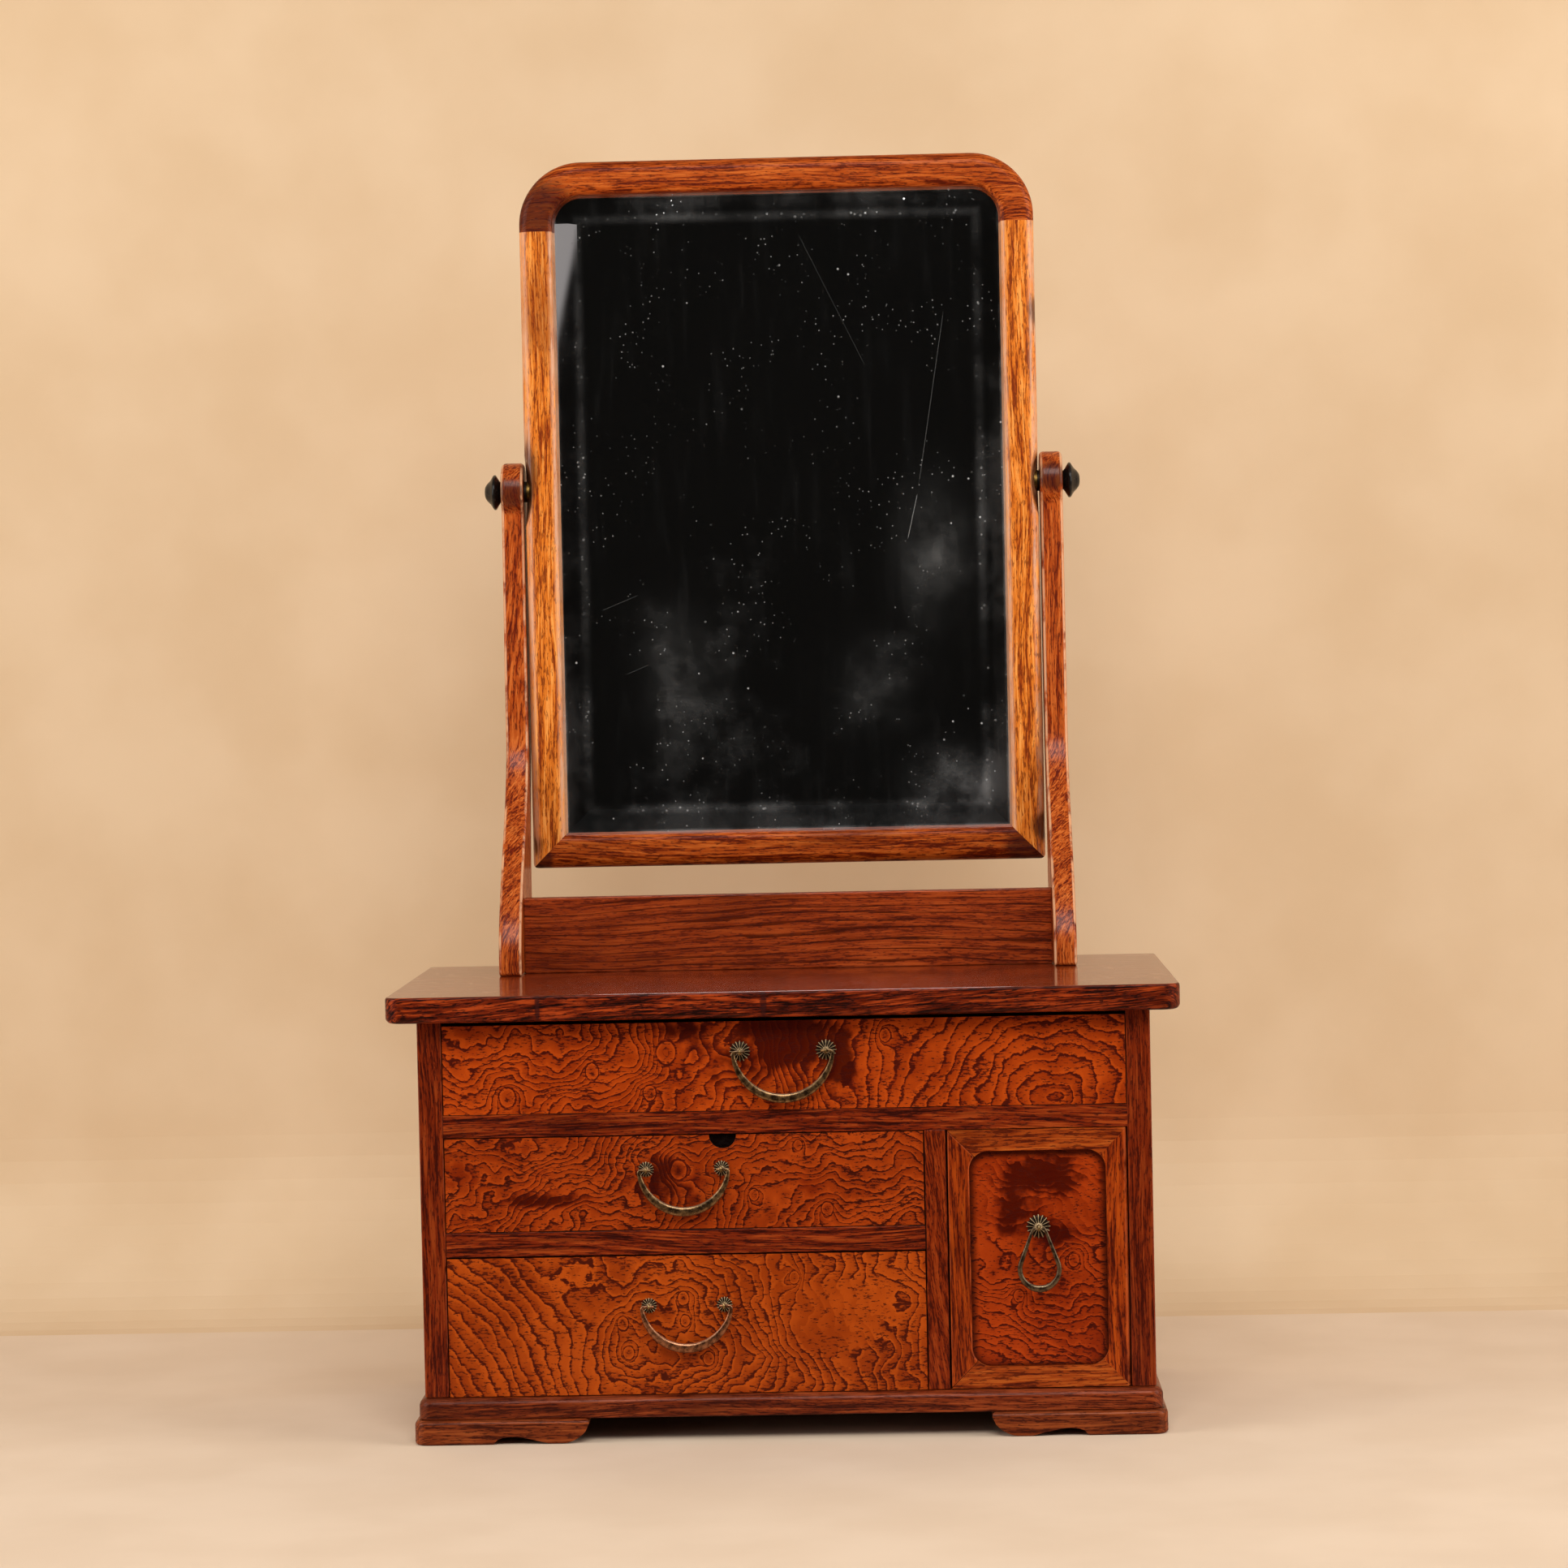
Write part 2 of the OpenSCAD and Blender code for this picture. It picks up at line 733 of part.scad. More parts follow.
// Mirror frame: its section is [distance in from the outer edge, depth from the front]
round_w = 7.5;
round_d = 6.5;
round_steps = 7;
lip_w = 5;
lip_d = 3.5;
lip_steps = 5;
frame_outline = concat(
    [for (i = [0:round_steps]) let (a = 90 * i / round_steps)
        [round_w * (1 - cos(a)), round_d * (1 - sin(a))]],
    [for (i = [0:lip_steps]) let (a = 90 * i / lip_steps)
        [frame_w - lip_w + lip_w * sin(a), lip_d * (1 - cos(a))]],
    [[frame_w, rebate_setback], [frame_w - rebate_w, rebate_setback],
     [frame_w - rebate_w, frame_t], [0, frame_t]]);

module frame_section() {
    polygon(frame_outline);
}

module left_stile_bar() {
    translate([-mirror_w / 2, mirror_y, mirror_z]) linear_extrude(mirror_h) frame_section();
}

module bottom_bar() {
    translate([mirror_w / 2, mirror_y, mirror_z]) rotate([0, -90, 0])
        linear_extrude(mirror_w) frame_section();
}

module top_bar() {
    translate([0, 0, mirror_z + mirror_top_z]) mirror([0, 0, 1]) bottom_bar();
}

module right_corner_ring() {
    translate([top_corner_x, mirror_y, top_corner_z]) rotate([-90, 0, 0]) rotate([0, 0, -90])
        rotate_extrude(angle = 90, $fn = 96)
            polygon([for (p = frame_outline) [mirror_corner_r - p[0], p[1]]]);
}

// Small pins that hold the back panel: three on each side, two above and two below
module sprig(x, z, turn) {
    translate([x, sprig_y, z]) rotate([0, turn, 0])
        translate([0, 0, -sprig_l / 2]) cylinder(r = sprig_r, h = sprig_l);
}

module back_panel_sprigs() {
    wall_x = mirror_w / 2 - frame_w + rebate_w;
    wall_low = mirror_z + frame_w - rebate_w;
    wall_high = mirror_top_z - frame_w + rebate_w;
    side_heights = [wall_low + sprig_from_corner, pivot_z - sprig_below_pivot,
                    wall_high - sprig_from_corner];
    end_x = wall_x - 2 * sprig_from_corner;
    color("dimgray") {
        for (x = [-wall_x, wall_x], z = side_heights) sprig(x, z, 90);
        for (x = [-end_x, end_x], z = [wall_low, wall_high]) sprig(x, z, 0);
    }
}

module frame_top_rail() {
    color("peru") difference() {
        union() {
            intersection() {
                top_bar();
                block([-top_corner_x, mirror_y, glue_z - frame_w],
                      [top_corner_x, mirror_y + frame_t, mirror_top_z]);
            }
            intersection() {
                both_sides() right_corner_ring();
                block([-mirror_w / 2, mirror_y, glue_z],
                      [mirror_w / 2, mirror_y + frame_t, mirror_top_z]);
            }
        }
        back_panel_sprigs();
    }
}

module frame_corner_right() {
    color("peru") union() {
        intersection() {
            right_corner_ring();
            block([top_corner_x, mirror_y, top_corner_z],
                  [mirror_w / 2, mirror_y + frame_t, glue_z]);
        }
        intersection() {
            mirror([1, 0, 0]) left_stile_bar();
            block([0, mirror_y, block_z], [mirror_w / 2, mirror_y + frame_t, top_corner_z]);
        }
    }
}

module frame_corner_left() {
    mirror([1, 0, 0]) frame_corner_right();
}

module mitre_above_bottom_rail() {
    upright(mirror_y, frame_t)
        polygon([[-mirror_w / 2, mirror_z], [-mirror_w / 2, block_z], [0, block_z],
                 [0, mirror_z + mirror_w / 2]]);
}

// The wood that comes off to round a lower corner of the frame
module low_corner_cut() {
    r = low_corner_r;
    translate([-mirror_w / 2, 0, mirror_z]) difference() {
        block([-cut, mirror_y - cut, -cut], [r, mirror_y + frame_t + cut, r]);
        translate([r, mirror_y - 2 * cut, r]) rotate([-90, 0, 0])
            cylinder(r = r, h = frame_t + 4 * cut);
    }
}

// Each stile has a shallow hollow in its outer front edge beside the pivot
module frame_stile_left() {
    color("peru") difference() {
        intersection() {
            left_stile_bar();
            mitre_above_bottom_rail();
        }
        translate([scoop_depth - mirror_w / 2, mirror_y, pivot_z]) rotate([-90, 0, scoop_lean])
            translate([-scoop_r, 0, -scoop_reach])
                cylinder(r = scoop_r, h = 2 * (scoop_reach + frame_t), $fn = 200);
        low_corner_cut();
        on_pivot(-mirror_w / 2 - cut)
            cylinder(r = washer_r + run_gap, h = mirror_w / 2 - seat_x + cut);
        on_pivot(-seat_x - cut) cylinder(r = nut_r, h = nut_l + cut);
        back_panel_sprigs();
    }
}

module frame_stile_right() {
    mirror([1, 0, 0]) frame_stile_left();
}

module frame_bottom_rail() {
    color("peru") difference() {
        intersection() {
            bottom_bar();
            upright(mirror_y, frame_t)
                polygon([[-mirror_w / 2, mirror_z], [mirror_w / 2, mirror_z],
                         [0, mirror_z + mirror_w / 2]]);
        }
        both_sides() low_corner_cut();
        back_panel_sprigs();
    }
}

// The outline that the glass and the back panel share: square below, round above
module plate_outline() {
    translate([-plate_x, plate_bottom]) square([2 * plate_x, plate_top - plate_r - plate_bottom]);
    translate([plate_r - plate_x, plate_bottom])
        square([2 * (plate_x - plate_r), plate_top - plate_bottom]);
    for (x = [plate_r - plate_x, plate_x - plate_r])
        translate([x, plate_top - plate_r]) circle(plate_r, $fn = 96);
}

module side_bevel() {
    translate([0, 0, plate_bottom - cut]) linear_extrude(plate_top - plate_r - plate_bottom + cut)
        polygon([[-plate_x - cut, glass_y - cut], [-plate_x + bevel_w, glass_y - cut],
                 [-plate_x + bevel_w, glass_y], [-plate_x, glass_y + bevel_drop],
                 [-plate_x - cut, glass_y + bevel_drop]]);
}

module level_bevel(z, up) {
    translate([0, 0, z]) sideways(plate_r - plate_x, 2 * (plate_x - plate_r))
        polygon([[glass_y - cut, -up * cut], [glass_y - cut, up * bevel_w],
                 [glass_y, up * bevel_w], [glass_y + bevel_drop, 0],
                 [glass_y + bevel_drop, -up * cut]]);
}

module low_corner_bevel() {
    translate([0, 0, plate_bottom]) sideways(-plate_x - cut, plate_r + cut)
        polygon([[glass_y - cut, -cut], [glass_y - cut, bevel_w],
                 [glass_y, bevel_w], [glass_y + bevel_drop, 0], [glass_y + bevel_drop, -cut]]);
}

module high_corner_bevel() {
    difference() {
        block([-plate_x - cut, glass_y - cut, plate_top - plate_r],
              [plate_r - plate_x, glass_y + bevel_drop, plate_top + cut]);
        translate([plate_r - plate_x, glass_y, plate_top - plate_r]) rotate([-90, 0, 0])
            cylinder(r1 = plate_r - bevel_w, r2 = plate_r, h = bevel_drop, $fn = 96);
    }
}

module mirror_glass() {
    color("lightsteelblue") difference() {
        upright(glass_y, glass_t) plate_outline();
        both_sides() {
            side_bevel();
            low_corner_bevel();
            high_corner_bevel();
        }
        level_bevel(plate_bottom, 1);
        level_bevel(plate_top, -1);
    }
}

module mirror_back_panel() {
    color("tan") upright(panel_y, back_panel_t) plate_outline();
}

// Drawers
module drawer_sides(d) {
    color("burlywood") for (x = [left_of(d), right_of(d) - drawer_side_t])
        block([x, front_y + drawer_lap, bottom_of(d) + drawer_bottom_t],
              [x + drawer_side_t, drawer_end_y, top_of(d) - drawer_side_drop]);
}

module drawer_back(d) {
    color("burlywood")
        block([left_of(d) + drawer_side_t, drawer_end_y - drawer_side_t,
               bottom_of(d) + drawer_bottom_t],
              [right_of(d) - drawer_side_t, drawer_end_y, top_of(d) - drawer_side_drop]);
}

module drawer_bottom(d) {
    color("burlywood") block([left_of(d), front_y + drawer_lap, bottom_of(d)],
                             [right_of(d), drawer_end_y, bottom_of(d) + drawer_bottom_t]);
}

module drawer_front(d) {
    color("chocolate") difference() {
        block([left_of(d), front_y, bottom_of(d)],
              [right_of(d), front_y + drawer_front_t, top_of(d)]);
        drawer_sides(d);
        drawer_bottom(d);
        for (side = [-1, 1])
            eye_bore(centre_of(d) + side * eye_x_of(d), eye_z_of(d), drawer_front_t);
    }
}

module drawer_middle_front() {
    color("chocolate") difference() {
        drawer_front(MIDDLE_DRAWER);
        translate([centre_of(MIDDLE_DRAWER) + notch_off, front_y - cut, top_of(MIDDLE_DRAWER)])
            rotate([-90, 0, 0]) cylinder(r = notch_r, h = notch_d + cut);
    }
}

// Handles: a fluted rosette, an eye whose shank passes the wood and is clinched
// over behind it, and a bail or a ring whose pin turns in the eye
module rosette(x, z, r) {
    h = r * rosette_height_share;
    ball = (r * r + h * h) / (2 * h);
    difference() {
        translate([x, front_y, z]) rotate([90, 0, 0]) difference() {
            intersection() {
                translate([0, 0, h - ball]) sphere(ball, $fn = 64);
                cylinder(r = r, h = h);
            }
            for (i = [0:flutes - 1]) rotate([0, 0, 360 * (i + 0.5) / flutes])
                translate([r * flute_from_share, 0, h * flute_lift_share])
                    rotate([0, 90 + atan(h / r), 0])
                        cylinder(r = r * flute_r_share, h = r, $fn = 16);
        }
        eye_bore(x, z, drawer_front_t);
    }
}

module eye_bore(x, z, depth) {
    translate([x, front_y - eye_out, z]) rotate([-90, 0, 0])
        cylinder(r = shank_r, h = eye_out + depth + cut);
}

// The ball and the shank of an eye are turned in one, as [radius, distance back]
module eye(x, z, depth) {
    end = eye_out + depth + clinch_t;
    ball_turn = 150;
    ball_steps = 8;
    translate([x, eye_y, z]) difference() {
        union() {
            rotate([-90, 0, 0]) rotate_extrude() polygon(concat(
                [for (i = [0:ball_steps]) let (a = ball_turn * i / ball_steps - 90)
                    [eye_r * cos(a), eye_r * sin(a)]],
                [[shank_r, end], [0, end]]));
            block([-clinch_t / 2, end - clinch_t, -clinch_l], [clinch_t / 2, end, clinch_l]);
        }
        translate([-eye_r - cut, 0, 0]) rotate([0, 90, 0])
            cylinder(r = bail_pin_r + run_gap, h = 2 * (eye_r + cut));
    }
}

module drawer_rosettes(d) {
    color("dimgray") for (side = [-1, 1])
        rosette(centre_of(d) + side * eye_x_of(d), eye_z_of(d), rosette_r_of(d));
}

module drawer_eyes(d) {
    color("dimgray") for (side = [-1, 1])
        eye(centre_of(d) + side * eye_x_of(d), eye_z_of(d), drawer_front_t);
}

// A bail: a crescent between two circles, with a pin turned in at each end
module bail(d) {
    outer = bail_r_of(d);
    end = outer - bail_end_w;
    low = outer - bail_mid_w;
    rise = (end * end - low * low) / (2 * low);
    pin_from = eye_x_of(d) - eye_r - pin_past_eye;
    pin_x = outer - bail_end_w / 2;
    color("darkgoldenrod") translate([centre_of(d), 0, eye_z_of(d)]) {
        upright(eye_y - bail_t / 2, bail_t) difference() {
            circle(outer, $fn = 96);
            translate([0, rise]) circle(low + rise, $fn = 96);
            translate([-outer - cut, 0]) square([2 * (outer + cut), outer + cut]);
        }
        both_sides() translate([0, eye_y, 0]) {
            translate([pin_from, 0, 0]) rotate([0, 90, 0])
                cylinder(r = bail_pin_r, h = pin_x - pin_from);
            translate([pin_x, 0, 0]) sphere(bail_end_w / 2);
        }
    }
}

// Door: a mitred frame round a panel, with rounded inner corners
module door_bar(points) {
    difference() {
        upright(front_y, door_t) difference() {
            polygon(points);
            translate([door_left + door_member_w, door_bottom + door_member_w])
                round_rect(door_right - door_left - 2 * door_member_w,
                           door_top - door_bottom - 2 * door_member_w, door_opening_r);
        }
        door_panel();
    }
}

door_reach = door_member_w + door_opening_r;

module door_stile_left() {
    color("peru") door_bar(
        [[door_left, door_bottom], [door_left, door_top],
         [door_left + door_reach, door_top - door_reach],
         [door_left + door_reach, door_bottom + door_reach]]);
}

module hinge_bores() {
    for (z = [[door_bottom - cut, door_bottom + hinge_pin_l],
              [door_top - hinge_pin_l, door_top + cut]])
        translate([hinge_x, hinge_y, z[0]])
            cylinder(r = hinge_pin_r + run_gap, h = z[1] - z[0]);
}

// The front corner at the hinge side is rounded, so that it clears the case
module hinge_rounding() {
    x = door_right - hinge_corner_r;
    y = front_y + hinge_corner_r;
    difference() {
        block([x, front_y - cut, door_bottom - cut], [door_right + cut, y, door_top + cut]);
        translate([x, y, door_bottom - 2 * cut])
            cylinder(r = hinge_corner_r, h = door_top - door_bottom + 4 * cut);
    }
}

module door_stile_right() {
    color("peru") difference() {
        door_bar([[door_right, door_bottom], [door_right, door_top],
                  [door_right - door_reach, door_top - door_reach],
                  [door_right - door_reach, door_bottom + door_reach]]);
        hinge_bores();
        hinge_rounding();
    }
}

module door_rail(edge_z, up) {
    color("peru") difference() {
        door_bar([[door_left, edge_z], [door_right, edge_z],
                  [door_right - door_reach, edge_z + up * door_reach],
                  [door_left + door_reach, edge_z + up * door_reach]]);
        hinge_bores();
        hinge_rounding();
    }
}

module door_panel() {
    inset = door_member_w - panel_lap;
    color("chocolate") difference() {
        block([door_left + inset, front_y + door_panel_setback, door_bottom + inset],
              [door_right - inset, front_y + door_panel_setback + door_panel_t,
               door_top - inset]);
        eye_bore(door_x, door_eye_z, door_t);
    }
}

module door_hinge_pins() {
    bottom_l = hinge_root_l + door_gap + hinge_pin_l - turn_gap;
    color("darkgoldenrod") {
        translate([hinge_x, hinge_y, floor_z - hinge_root_l])
            cylinder(r = hinge_pin_r, h = bottom_l);
        translate([hinge_x, hinge_y, upper_rail_z - bottom_l + hinge_root_l])
            cylinder(r = hinge_pin_r, h = bottom_l);
    }
}

module door_rosette() {
    color("dimgray") translate([0, door_panel_setback, 0])
        rosette(door_x, door_eye_z, door_rosette_r);
}

module door_eye() {
    color("dimgray") eye(door_x, door_eye_z, door_panel_setback + door_panel_t);
}

// A pear outline: a circle with the two lines that touch it and meet the neck
module pear(r, z, neck) {
    touch = atan2(-z, neck) - acos(r / norm([neck, z]));
    translate([0, z]) circle(r, $fn = 96);
    polygon([[neck, 0], [r * cos(touch), z + r * sin(touch)],
             [-r * cos(touch), z + r * sin(touch)], [-neck, 0]]);
}

// The door ring: open between its thin arms, thick at its lowest point
module door_ring() {
    outer = ring_w / 2;
    inner = outer - (ring_low_w + ring_neck_w) / 2;
    inner_z = ring_low_w + inner - ring_h;
    neck_x = eye_r + neck_gap + ring_neck_w / 2;
    color("darkgoldenrod") translate([door_x, 0, door_eye_z]) {
        upright(eye_y - bail_t / 2, bail_t) {
            difference() {
                pear(outer, outer - ring_h, neck_x + ring_neck_w / 2);
                pear(inner, inner_z, neck_x - ring_neck_w / 2);
            }
            for (x = [-neck_x, neck_x]) translate([x, 0]) circle(ring_neck_w / 2);
        }
        translate([-neck_x, eye_y, 0]) rotate([0, 90, 0])
            cylinder(r = bail_pin_r, h = 2 * neck_x);
    }
}

top_board();
side_board_left();
side_board_right();
base_board();
back_board();
rail_upper();
rail_lower();
shelf_upper();
shelf_lower();
partition();
front_feet();
side_feet();
post_left();
post_right();
cross_board();
pivot_washers();
knob_left();
knob_right();
pivot_screw_left();
pivot_screw_right();
frame_top_rail();
frame_corner_left();
frame_corner_right();
frame_stile_left();
frame_stile_right();
frame_bottom_rail();
mirror_glass();
mirror_back_panel();
back_panel_sprigs();
pivot_nuts();
drawer_front(TOP_DRAWER);  // drawer_top_front
drawer_sides(TOP_DRAWER);  // drawer_top_sides
drawer_back(TOP_DRAWER);  // drawer_top_back
drawer_bottom(TOP_DRAWER);  // drawer_top_bottom
drawer_rosettes(TOP_DRAWER);  // drawer_top_rosettes
drawer_eyes(TOP_DRAWER);  // drawer_top_eyes
bail(TOP_DRAWER);  // drawer_top_bail
drawer_middle_front();
drawer_sides(MIDDLE_DRAWER);  // drawer_middle_sides
drawer_back(MIDDLE_DRAWER);  // drawer_middle_back
drawer_bottom(MIDDLE_DRAWER);  // drawer_middle_bottom
drawer_rosettes(MIDDLE_DRAWER);  // drawer_middle_rosettes
drawer_eyes(MIDDLE_DRAWER);  // drawer_middle_eyes
bail(MIDDLE_DRAWER);  // drawer_middle_bail
drawer_front(BOTTOM_DRAWER);  // drawer_bottom_front
drawer_sides(BOTTOM_DRAWER);  // drawer_bottom_sides
drawer_back(BOTTOM_DRAWER);  // drawer_bottom_back
drawer_bottom(BOTTOM_DRAWER);  // drawer_bottom_bottom
drawer_rosettes(BOTTOM_DRAWER);  // drawer_bottom_rosettes
drawer_eyes(BOTTOM_DRAWER);  // drawer_bottom_eyes
bail(BOTTOM_DRAWER);  // drawer_bottom_bail
door_stile_left();
door_stile_right();
door_rail(door_top, -1);  // door_rail_top
door_rail(door_bottom, 1);  // door_rail_bottom
door_panel();
door_hinge_pins();
door_rosette();
door_eye();
door_ring();
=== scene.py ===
import json
import math

import bmesh
import bpy
from mathutils import Matrix, Vector


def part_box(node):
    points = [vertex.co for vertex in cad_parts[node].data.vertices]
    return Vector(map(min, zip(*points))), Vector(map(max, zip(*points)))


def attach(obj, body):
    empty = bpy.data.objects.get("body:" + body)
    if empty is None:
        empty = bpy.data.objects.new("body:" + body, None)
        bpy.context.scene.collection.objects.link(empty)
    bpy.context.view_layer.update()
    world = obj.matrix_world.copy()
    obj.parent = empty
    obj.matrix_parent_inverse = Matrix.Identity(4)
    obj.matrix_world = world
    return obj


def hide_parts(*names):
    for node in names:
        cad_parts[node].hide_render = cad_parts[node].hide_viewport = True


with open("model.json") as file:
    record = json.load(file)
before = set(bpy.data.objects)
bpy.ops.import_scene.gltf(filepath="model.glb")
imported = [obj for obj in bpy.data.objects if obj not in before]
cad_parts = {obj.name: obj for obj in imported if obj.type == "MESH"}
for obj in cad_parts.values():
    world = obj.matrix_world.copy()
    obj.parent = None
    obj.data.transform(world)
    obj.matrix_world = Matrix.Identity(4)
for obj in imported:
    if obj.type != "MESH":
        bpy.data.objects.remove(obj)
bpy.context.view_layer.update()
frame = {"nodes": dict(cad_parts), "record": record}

# The camera
# The stand is seen through a long lens from 2.4 m, from a little above the case
# and a little to the right of its middle, so the top board is just seen.
camera = bpy.data.cameras.new("front_camera")
camera.lens = 97.35
camera.sensor_width = 36
camera_place = Matrix.Translation((0.0709, -2.5443, 0.4512))
camera_turn = (Matrix.Rotation(0.0276, 4, "Z") @ Matrix.Rotation(-0.0307, 4, "X")
               @ Matrix.Rotation(0.0213, 4, "Y") @ Matrix.Rotation(math.pi / 2, 4, "X"))
camera_object = bpy.data.objects.new("front_camera", camera)
camera_object.matrix_world = camera_place @ camera_turn
scene = bpy.context.scene
scene.collection.objects.link(camera_object)
scene.camera = camera_object
scene.view_settings.view_transform = "Standard"


# The studio
# A pale floor and a pale wall that curves up behind the stand. Soft lamps stand
# at the left, the right and above. The glass faces a dark room and a glowing card,
# which are seen only in reflections: a painted dark reflection and a painted pale one.
def plug(node, inputs):
    """Sets a node's inputs, by name or in order: a Wire is linked and a constant is set."""
    pairs = inputs.items() if isinstance(inputs, dict) else enumerate(inputs)
    for key, value in pairs:
        if isinstance(value, Wire):
            value.tree.links.new(value.socket, node.inputs[key])
        else:
            node.inputs[key].default_value = value


class Wire:
    """A socket of a node tree: operators add Math nodes, and node() any other node."""

    def __init__(self, tree, socket=None):
        self.tree = tree
        self.socket = socket

    def node(self, kind, inputs=(), out=0, **settings):
        new = self.tree.nodes.new(kind)
        for name, value in settings.items():
            setattr(new, name, value)
        plug(new, inputs)
        return Wire(self.tree, new.outputs[out])

    def math(self, operation, *values):
        return self.node("ShaderNodeMath", values, operation=operation)

    def __add__(self, other):
        return self.math("ADD", self, other)

    def __sub__(self, other):
        return self.math("SUBTRACT", self, other)

    def __rsub__(self, other):
        return self.math("SUBTRACT", other, self)

    def __mul__(self, other):
        return self.math("MULTIPLY", self, other)

    def __truediv__(self, other):
        return self.math("DIVIDE", self, other)

    __radd__ = __add__
    __rmul__ = __mul__

    def __abs__(self):
        return self.math("ABSOLUTE", self)

    def __neg__(self):
        return self * -1.0

    def root(self):
        return self.math("SQRT", self)

    def exp(self):
        return self.math("EXPONENT", self)

    def sine(self):
        return self.math("SINE", self)

    def cosine(self):
        return self.math("COSINE", self)

    def fraction(self):
        return self.math("FRACT", self)

    def at_most(self, other):
        return self.math("MINIMUM", self, other)

    def at_least(self, other):
        return self.math("MAXIMUM", self, other)

    def ramp(self, low, high):
        """0 below low and 1 above high, smooth between; the other way round if low > high."""
        return self.node("ShaderNodeMapRange", [self, low, high, 0.0, 1.0],
                         interpolation_type="SMOOTHSTEP")

    def blend(self, first, second):
        """The colour first where this is 0, and second where it is 1."""
        return self.node("ShaderNodeMix", {0: self, 6: first, 7: second}, out=2,
                         data_type="RGBA")

    def place(self):
        """The coordinates of the surface, in metres."""
        return self.node("ShaderNodeTexCoord", out=3)

    def facing(self):
        """The way that the surface faces."""
        return self.node("ShaderNodeTexCoord", out=1)

    def axes(self):
        parts = self.node("ShaderNodeSeparateXYZ", [self]).socket.node
        return [Wire(self.tree, part) for part in parts.outputs]

    def mapped(self, location=(0, 0, 0), rotation=(0, 0, 0)):
        return self.node("ShaderNodeMapping", {"Vector": self, "Location": location,
                                               "Rotation": rotation})

    def scaled(self, factors):
        return self.node("ShaderNodeVectorMath", [self, factors], operation="MULTIPLY")

    def noise(self, scale, detail=2.0, roughness=0.5):
        return self.node("ShaderNodeTexNoise", {"Vector": self, "Scale": scale,
                                                "Detail": detail, "Roughness": roughness})

    def bump(self, strength, distance):
        """The normal of a surface that stands out by this share of the distance."""
        return self.node("ShaderNodeBump", {"Strength": strength, "Distance": distance,
                                            "Height": self})


def new_finish(name):
    """A material, the wire to build its nodes with, and its shader."""
    material = bpy.data.materials.new(name)
    material.use_nodes = True
    tree = material.node_tree
    return material, Wire(tree), tree.nodes["Principled BSDF"]


def rgb(red, green, blue):
    """A colour as it is seen on a screen, from 0 to 255, as the shader's linear values."""
    shares = [c / 255 for c in (red, green, blue)]
    return (*[s / 12.92 if s < 0.04 else ((s + 0.055) / 1.055) ** 2.4 for s in shares], 1)


def new_piece(name, mesh, material):
    piece = bpy.data.objects.new(name, mesh)
    scene.collection.objects.link(piece)
    mesh.materials.clear()
    mesh.materials.append(material)
    return piece


def sheet(name, corners, faces, material):
    """A flat or folded piece of the stage."""
    mesh = bpy.data.meshes.new(name)
    mesh.from_pydata(corners, [], faces)
    return new_piece(name, mesh, material)


def mottled(name, scale, detail, first, second):
    """A dull surface whose colour wanders between two."""
    material, wire, shader = new_finish(name)
    mottle = wire.place().noise(scale, detail)
    plug(shader, {"Base Color": mottle.ramp(0.3, 0.7).blend(first, second),
                  "Roughness": 0.9, "Specular IOR Level": 0.1})
    return material, wire, shader


backdrop, _, _ = mottled("pale_backdrop", 9.0, 4.0, rgb(214, 192, 168), rgb(220, 199, 176))
floor_half = 5.0
floor = sheet("floor", [(-floor_half, -floor_half, 0), (floor_half, -floor_half, 0),
                        (floor_half, floor_half, 0), (-floor_half, floor_half, 0)],
              [(0, 1, 2, 3)], backdrop)

# The wall shows from its front only, so that the stand is seen from behind as well.
wall_material, wire, shader = mottled("pale_wall", 7.0, 5.0, rgb(206, 178, 144),
                                      rgb(214, 188, 156))
seen_through = wire.node("ShaderNodeBsdfTransparent")
from_behind = wire.node("ShaderNodeNewGeometry", out=6)
either = wire.node("ShaderNodeMixShader", [from_behind, Wire(wire.tree, shader.outputs[0]),
                                           seen_through])
plug(wire.tree.nodes["Material Output"], [either])
wall_y, wall_bend, wall_top, wall_half, above_floor = 0.42, 0.12, 2.4, 2.2, 0.0005
bend_steps = 12
bend_turns = [math.pi / 2 * i / bend_steps for i in range(bend_steps + 1)]
wall_line = [(wall_y - wall_bend + wall_bend * math.sin(turn),
              wall_bend - wall_bend * math.cos(turn) + above_floor) for turn in bend_turns]
wall_line.append((wall_y, wall_top))
wall = sheet("wall", [(x, y, z) for y, z in wall_line for x in (-wall_half, wall_half)],
             [(2 * i, 2 * i + 1, 2 * i + 3, 2 * i + 2) for i in range(len(wall_line) - 1)],
             wall_material)

# A dark floor and wall in front, seen only in reflections: a painted dark reflection, while the
# camera sees the pale floor there.
dark_room, wire, shader = new_finish("dark_room")
plug(shader, {"Base Color": (0.004, 0.004, 0.004, 1), "Roughness": 1.0,
              "Specular IOR Level": 0.0})
near, far, room_half, room_floor, room_top = -0.45, -3.4, 2.3, 0.004, 2.8
room = sheet("dark_room_in_front", [
    (-room_half, near, room_floor), (room_half, near, room_floor), (room_half, far, room_floor),
    (-room_half, far, room_floor), (room_half, far, room_top), (-room_half, far, room_top)],
    [(0, 1, 2, 3), (3, 2, 4, 5)], dark_room)
